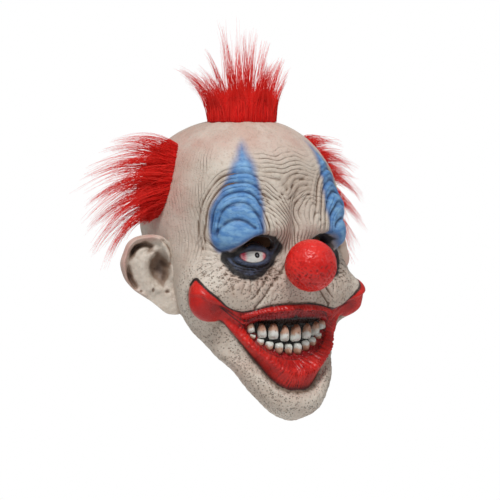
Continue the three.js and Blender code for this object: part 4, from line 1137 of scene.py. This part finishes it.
def clumped(roots, rise, clump, foot, way, long, sag, share, gather):
    """Hairs that leave along rise, bend toward their clump's way and draw together at its tip."""
    way = way / np.linalg.norm(way, axis=1, keepdims=True)
    t = np.linspace(0, 1, HAIR_STEPS + 1)[None, :, None]
    length = (long[clump] * share)[:, None, None]
    way = way[clump][:, None]
    rise = rise[:, None]
    turn = length * t / 60
    hook = RNG.normal(0, 1, (len(long), 2))[clump]
    hook = np.cross(way, rise) * hook[:, :1, None] * 9 + rise * hook[:, 1:, None] * 3
    stray = RNG.normal(0, 1, (len(roots), 1, 3)) * 1.7 * turn**1.5
    path = roots[:, None] + rise * length * t * (1 - 0.62 * t) + way * length * t * (0.25 + 0.55 * t)
    path = path + hook * turn**2.4 + stray
    path[..., 2] -= (sag[clump][:, None, None] * turn**2)[..., 0]
    drawn = np.clip(turn * 60 / long[clump][:, None, None], 0, 1) ** 1.2
    return path + (foot[clump] - roots)[:, None] * gather[:, None, None] * drawn


def crown_hair(material):
    r = TUFT_RADIUS * np.sqrt(RNG.uniform(0, 1, HAIRS))
    w = RNG.uniform(0, 2 * np.pi, HAIRS)
    x, y = r * np.sin(w), -r * np.cos(w)
    roots = np.stack([x, y, CROWN_HEIGHT - 0.0035 * r**2 + HAIR_ROOT], -1)
    feet, lean, long = CROWN_LOCKS[:, :2], CROWN_LOCKS[:, 2:4] * 1.15, CROWN_LOCKS[:, 4]
    clump = nearest((x[:, None] - feet[:, 0], y[:, None] - feet[:, 1]), 1.6)
    short = RNG.uniform(0, 1, HAIRS) < 0.76
    dense = RNG.uniform(22, 30, HAIRS) / long[clump]
    share = np.where(short, dense, RNG.uniform(0.5, 1.08, HAIRS) ** 0.8)
    way = np.column_stack([lean, np.ones(len(lean))])
    rise = np.column_stack([0.05 * x / TUFT_RADIUS, 0.05 * y / TUFT_RADIUS, np.ones(HAIRS)])
    foot = np.column_stack([feet, np.full(len(feet), CROWN_HEIGHT)])
    sag = 8 * np.hypot(lean[:, 0], lean[:, 1])
    path = clumped(roots, rise, clump, foot, way, long * 0.98, sag, share, np.where(short, 0.0, 0.95))
    t = np.linspace(0, 1, HAIR_STEPS + 1)[None, :, None]
    upright = roots[:, None] + rise[:, None] * (long[clump] * share)[:, None, None] * t
    path[short] = upright[short] + RNG.normal(0, 0.7, (int(short.sum()), 1, 3)) * t
    return strands("crown_hair", path, material)


def side_patch(side, u, v, lift=0.0):
    """Places on a side tuft's patch, from shares of its half width and half height."""
    return surface_points(side * (SIDE_ACROSS + u * SIDE_WIDE), SIDE_DOWN - v * SIDE_HIGH, lift)


def side_hair(name, side, material, pile, loose):
    """Fur above one ear. pile is the height of its dense part, loose the share of long hairs."""
    r, w = np.sqrt(RNG.uniform(0, 1, HAIRS)), RNG.uniform(0, 2 * np.pi, HAIRS)
    u, v = r * np.cos(w), r * np.sin(w)
    roots, normals = side_patch(side, u, v, HAIR_ROOT)
    across, up, back, rise, long = SIDE_LOCKS.T
    clump = nearest(((u[:, None] - across) * SIDE_WIDE, (v[:, None] - up) * SIDE_HIGH), 1.8)
    short = RNG.uniform(0, 1, HAIRS) > loose
    dense = RNG.uniform(0.6 * pile, pile, HAIRS) / long[clump]
    share = np.where(short, dense, RNG.uniform(0.45, 1.08, HAIRS))
    way = np.column_stack([np.full(len(long), 1.0 * side), back * 0.45, rise * 0.8])
    foot, _ = side_patch(side, across, up)
    sag = np.full(len(long), 24.0)
    path = clumped(roots, normals, clump, foot, way, long * 0.95, sag, share, np.where(short, 0.1, 0.9))
    return strands(name, path, material)


def pile_piece(name, material, rings, top):
    n = len(rings[0])
    faces = grid_faces(len(rings), n).tolist()
    faces += [[j, (j + 1) % n, len(rings) * n] for j in range(n)]
    faces.append([(len(rings) - 1) * n + j for j in range(n - 1, -1, -1)])
    piece(name, np.vstack(rings + [top]), faces, material)


# Dense fur under the strands, ring by ring: share of the patch's size, height
CROWN_PILE = ((0.3, 19), (0.6, 18.5), (0.8, 17.5), (0.92, 15), (0.965, 9), (0.975, 0), (0.97, -8))
SIDE_PILE = ((0.3, 14), (0.6, 13), (0.8, 10.5), (0.92, 6.5), (0.97, 2), (0.95, -1.2))
CROWN_PILE_TOP, SIDE_PILE_TOP = 19.5, 14.5


def piles():
    w = turns(PILE_COLUMNS)
    rings = []
    for edge, z in CROWN_PILE:
        k = TUFT_RADIUS * edge * (1 + 0.02 * np.sin(5 * w + 0.2 * z))
        rings.append(np.column_stack([k * np.sin(w), -k * np.cos(w), np.full_like(w, CROWN_HEIGHT + z)]))
    upright = pile_material("fur_pile_upright", (1.0, 1.0, 0.06))
    pile_piece("crown_pile", upright, rings, np.array([[0, 0, CROWN_HEIGHT + CROWN_PILE_TOP]]))
    swept = pile_material("fur_pile_swept", (0.12, 0.12, 1.0))
    for side, name, full in ((-1, "right_pile", 0.6), (1, "left_pile", 1.15)):
        rings = [side_patch(side, k * np.cos(w), -k * np.sin(w), lift * full)[0] for k, lift in SIDE_PILE]
        top, _ = side_patch(side, np.zeros(1), np.zeros(1), SIDE_PILE_TOP * full)
        pile_piece(name, swept, rings, top)


head = head_piece(latex_material())
lining_piece(lining_material())
slit_rims(rim_material())
ears_piece(ear_material())
nose_piece(nose_material())
teeth_piece(tooth_material())
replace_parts(head, "latex_shell")

fur = hair_material()
piles()
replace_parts(crown_hair(fur), "crown_tuft")
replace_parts(side_hair("right_hair", -1, fur, 14, 0.18), "right_tuft")
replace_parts(side_hair("left_hair", 1, fur, 36, 0.3), "left_tuft")

# Floor, light and camera, in metres
FLOOR_RADIUS, FLOOR_LEVEL = 1.1, -0.6
SURROUND_SEEN, SURROUND_LIGHT = 1.0, 0.36
AZIMUTH, ELEVATION, DISTANCE, FIELD = math.radians(-35), math.radians(2), 2.6, 0.475
AIM_HEIGHT, AIM_RIGHT, SENSOR = -0.1245, 0.0076, 36


def pale_floor():
    """A wide round floor below the part."""
    rim = [(FLOOR_RADIUS * math.cos(k), FLOOR_RADIUS * math.sin(k), FLOOR_LEVEL) for k in turns(64)]
    mesh = bpy.data.meshes.new("floor")
    mesh.from_pydata(rim, [], [list(range(len(rim)))])
    floor = bpy.data.objects.new("floor", mesh)
    bpy.context.scene.collection.objects.link(floor)
    g = Graph("pale_floor")
    g.set(Base_Color=g.mix(g.noise(3), (0.93, 0.93, 0.93, 1), (0.95, 0.95, 0.95, 1)), Roughness=0.9)
    mesh.materials.append(g.mat)


def studio():
    """A white surround that gives a soft, weaker light of its own."""
    world = bpy.data.worlds.new("studio")
    world.use_nodes = True
    nodes, links = world.node_tree.nodes, world.node_tree.links
    white = nodes["Background"]
    soft = nodes.new("ShaderNodeBackground")
    for node, strength in ((white, SURROUND_SEEN), (soft, SURROUND_LIGHT)):
        node.inputs["Color"].default_value = (1, 1, 1, 1)
        node.inputs["Strength"].default_value = strength
    seen, mix = nodes.new("ShaderNodeLightPath"), nodes.new("ShaderNodeMixShader")
    links.new(seen.outputs["Is Camera Ray"], mix.inputs[0])
    links.new(soft.outputs[0], mix.inputs[1])
    links.new(white.outputs[0], mix.inputs[2])
    links.new(mix.outputs[0], nodes["World Output"].inputs["Surface"])
    bpy.context.scene.world = world


def area(name, place, target, size, power_watts):
    light = bpy.data.lights.new(name, "AREA")
    light.shape, light.size, light.energy = "DISK", size, power_watts
    obj = bpy.data.objects.new(name, light)
    obj.location = place
    obj.rotation_euler = (Vector(target) - Vector(place)).to_track_quat("-Z", "Y").to_euler()
    bpy.context.scene.collection.objects.link(obj)


def photo_camera():
    camera = bpy.data.objects.new("camera", bpy.data.cameras.new("camera"))
    bpy.context.scene.collection.objects.link(camera)
    bpy.context.scene.camera = camera
    level = math.cos(ELEVATION)
    back = Vector((math.sin(AZIMUTH) * level, -math.cos(AZIMUTH) * level, math.sin(ELEVATION)))
    right = Vector((math.cos(AZIMUTH), math.sin(AZIMUTH), 0))
    camera.location = Vector((0, 0, AIM_HEIGHT)) + right * AIM_RIGHT + back * DISTANCE
    camera.rotation_mode = "QUATERNION"
    camera.rotation_quaternion = (-back).to_track_quat("-Z", "Y")
    camera.data.sensor_width = SENSOR
    camera.data.lens = SENSOR * DISTANCE / FIELD
    camera.data.clip_start, camera.data.clip_end = 0.05, 100


pale_floor()
studio()
area("key", (-1.0, -1.15, 1.9), (0, 0, -0.06), 0.7, 47)
area("fill", (1.3, -1.3, 0.7), (0, 0, -0.12), 1.0, 3)
photo_camera()
bpy.context.scene.view_settings.view_transform = "Standard"

bpy.context.view_layer.update()
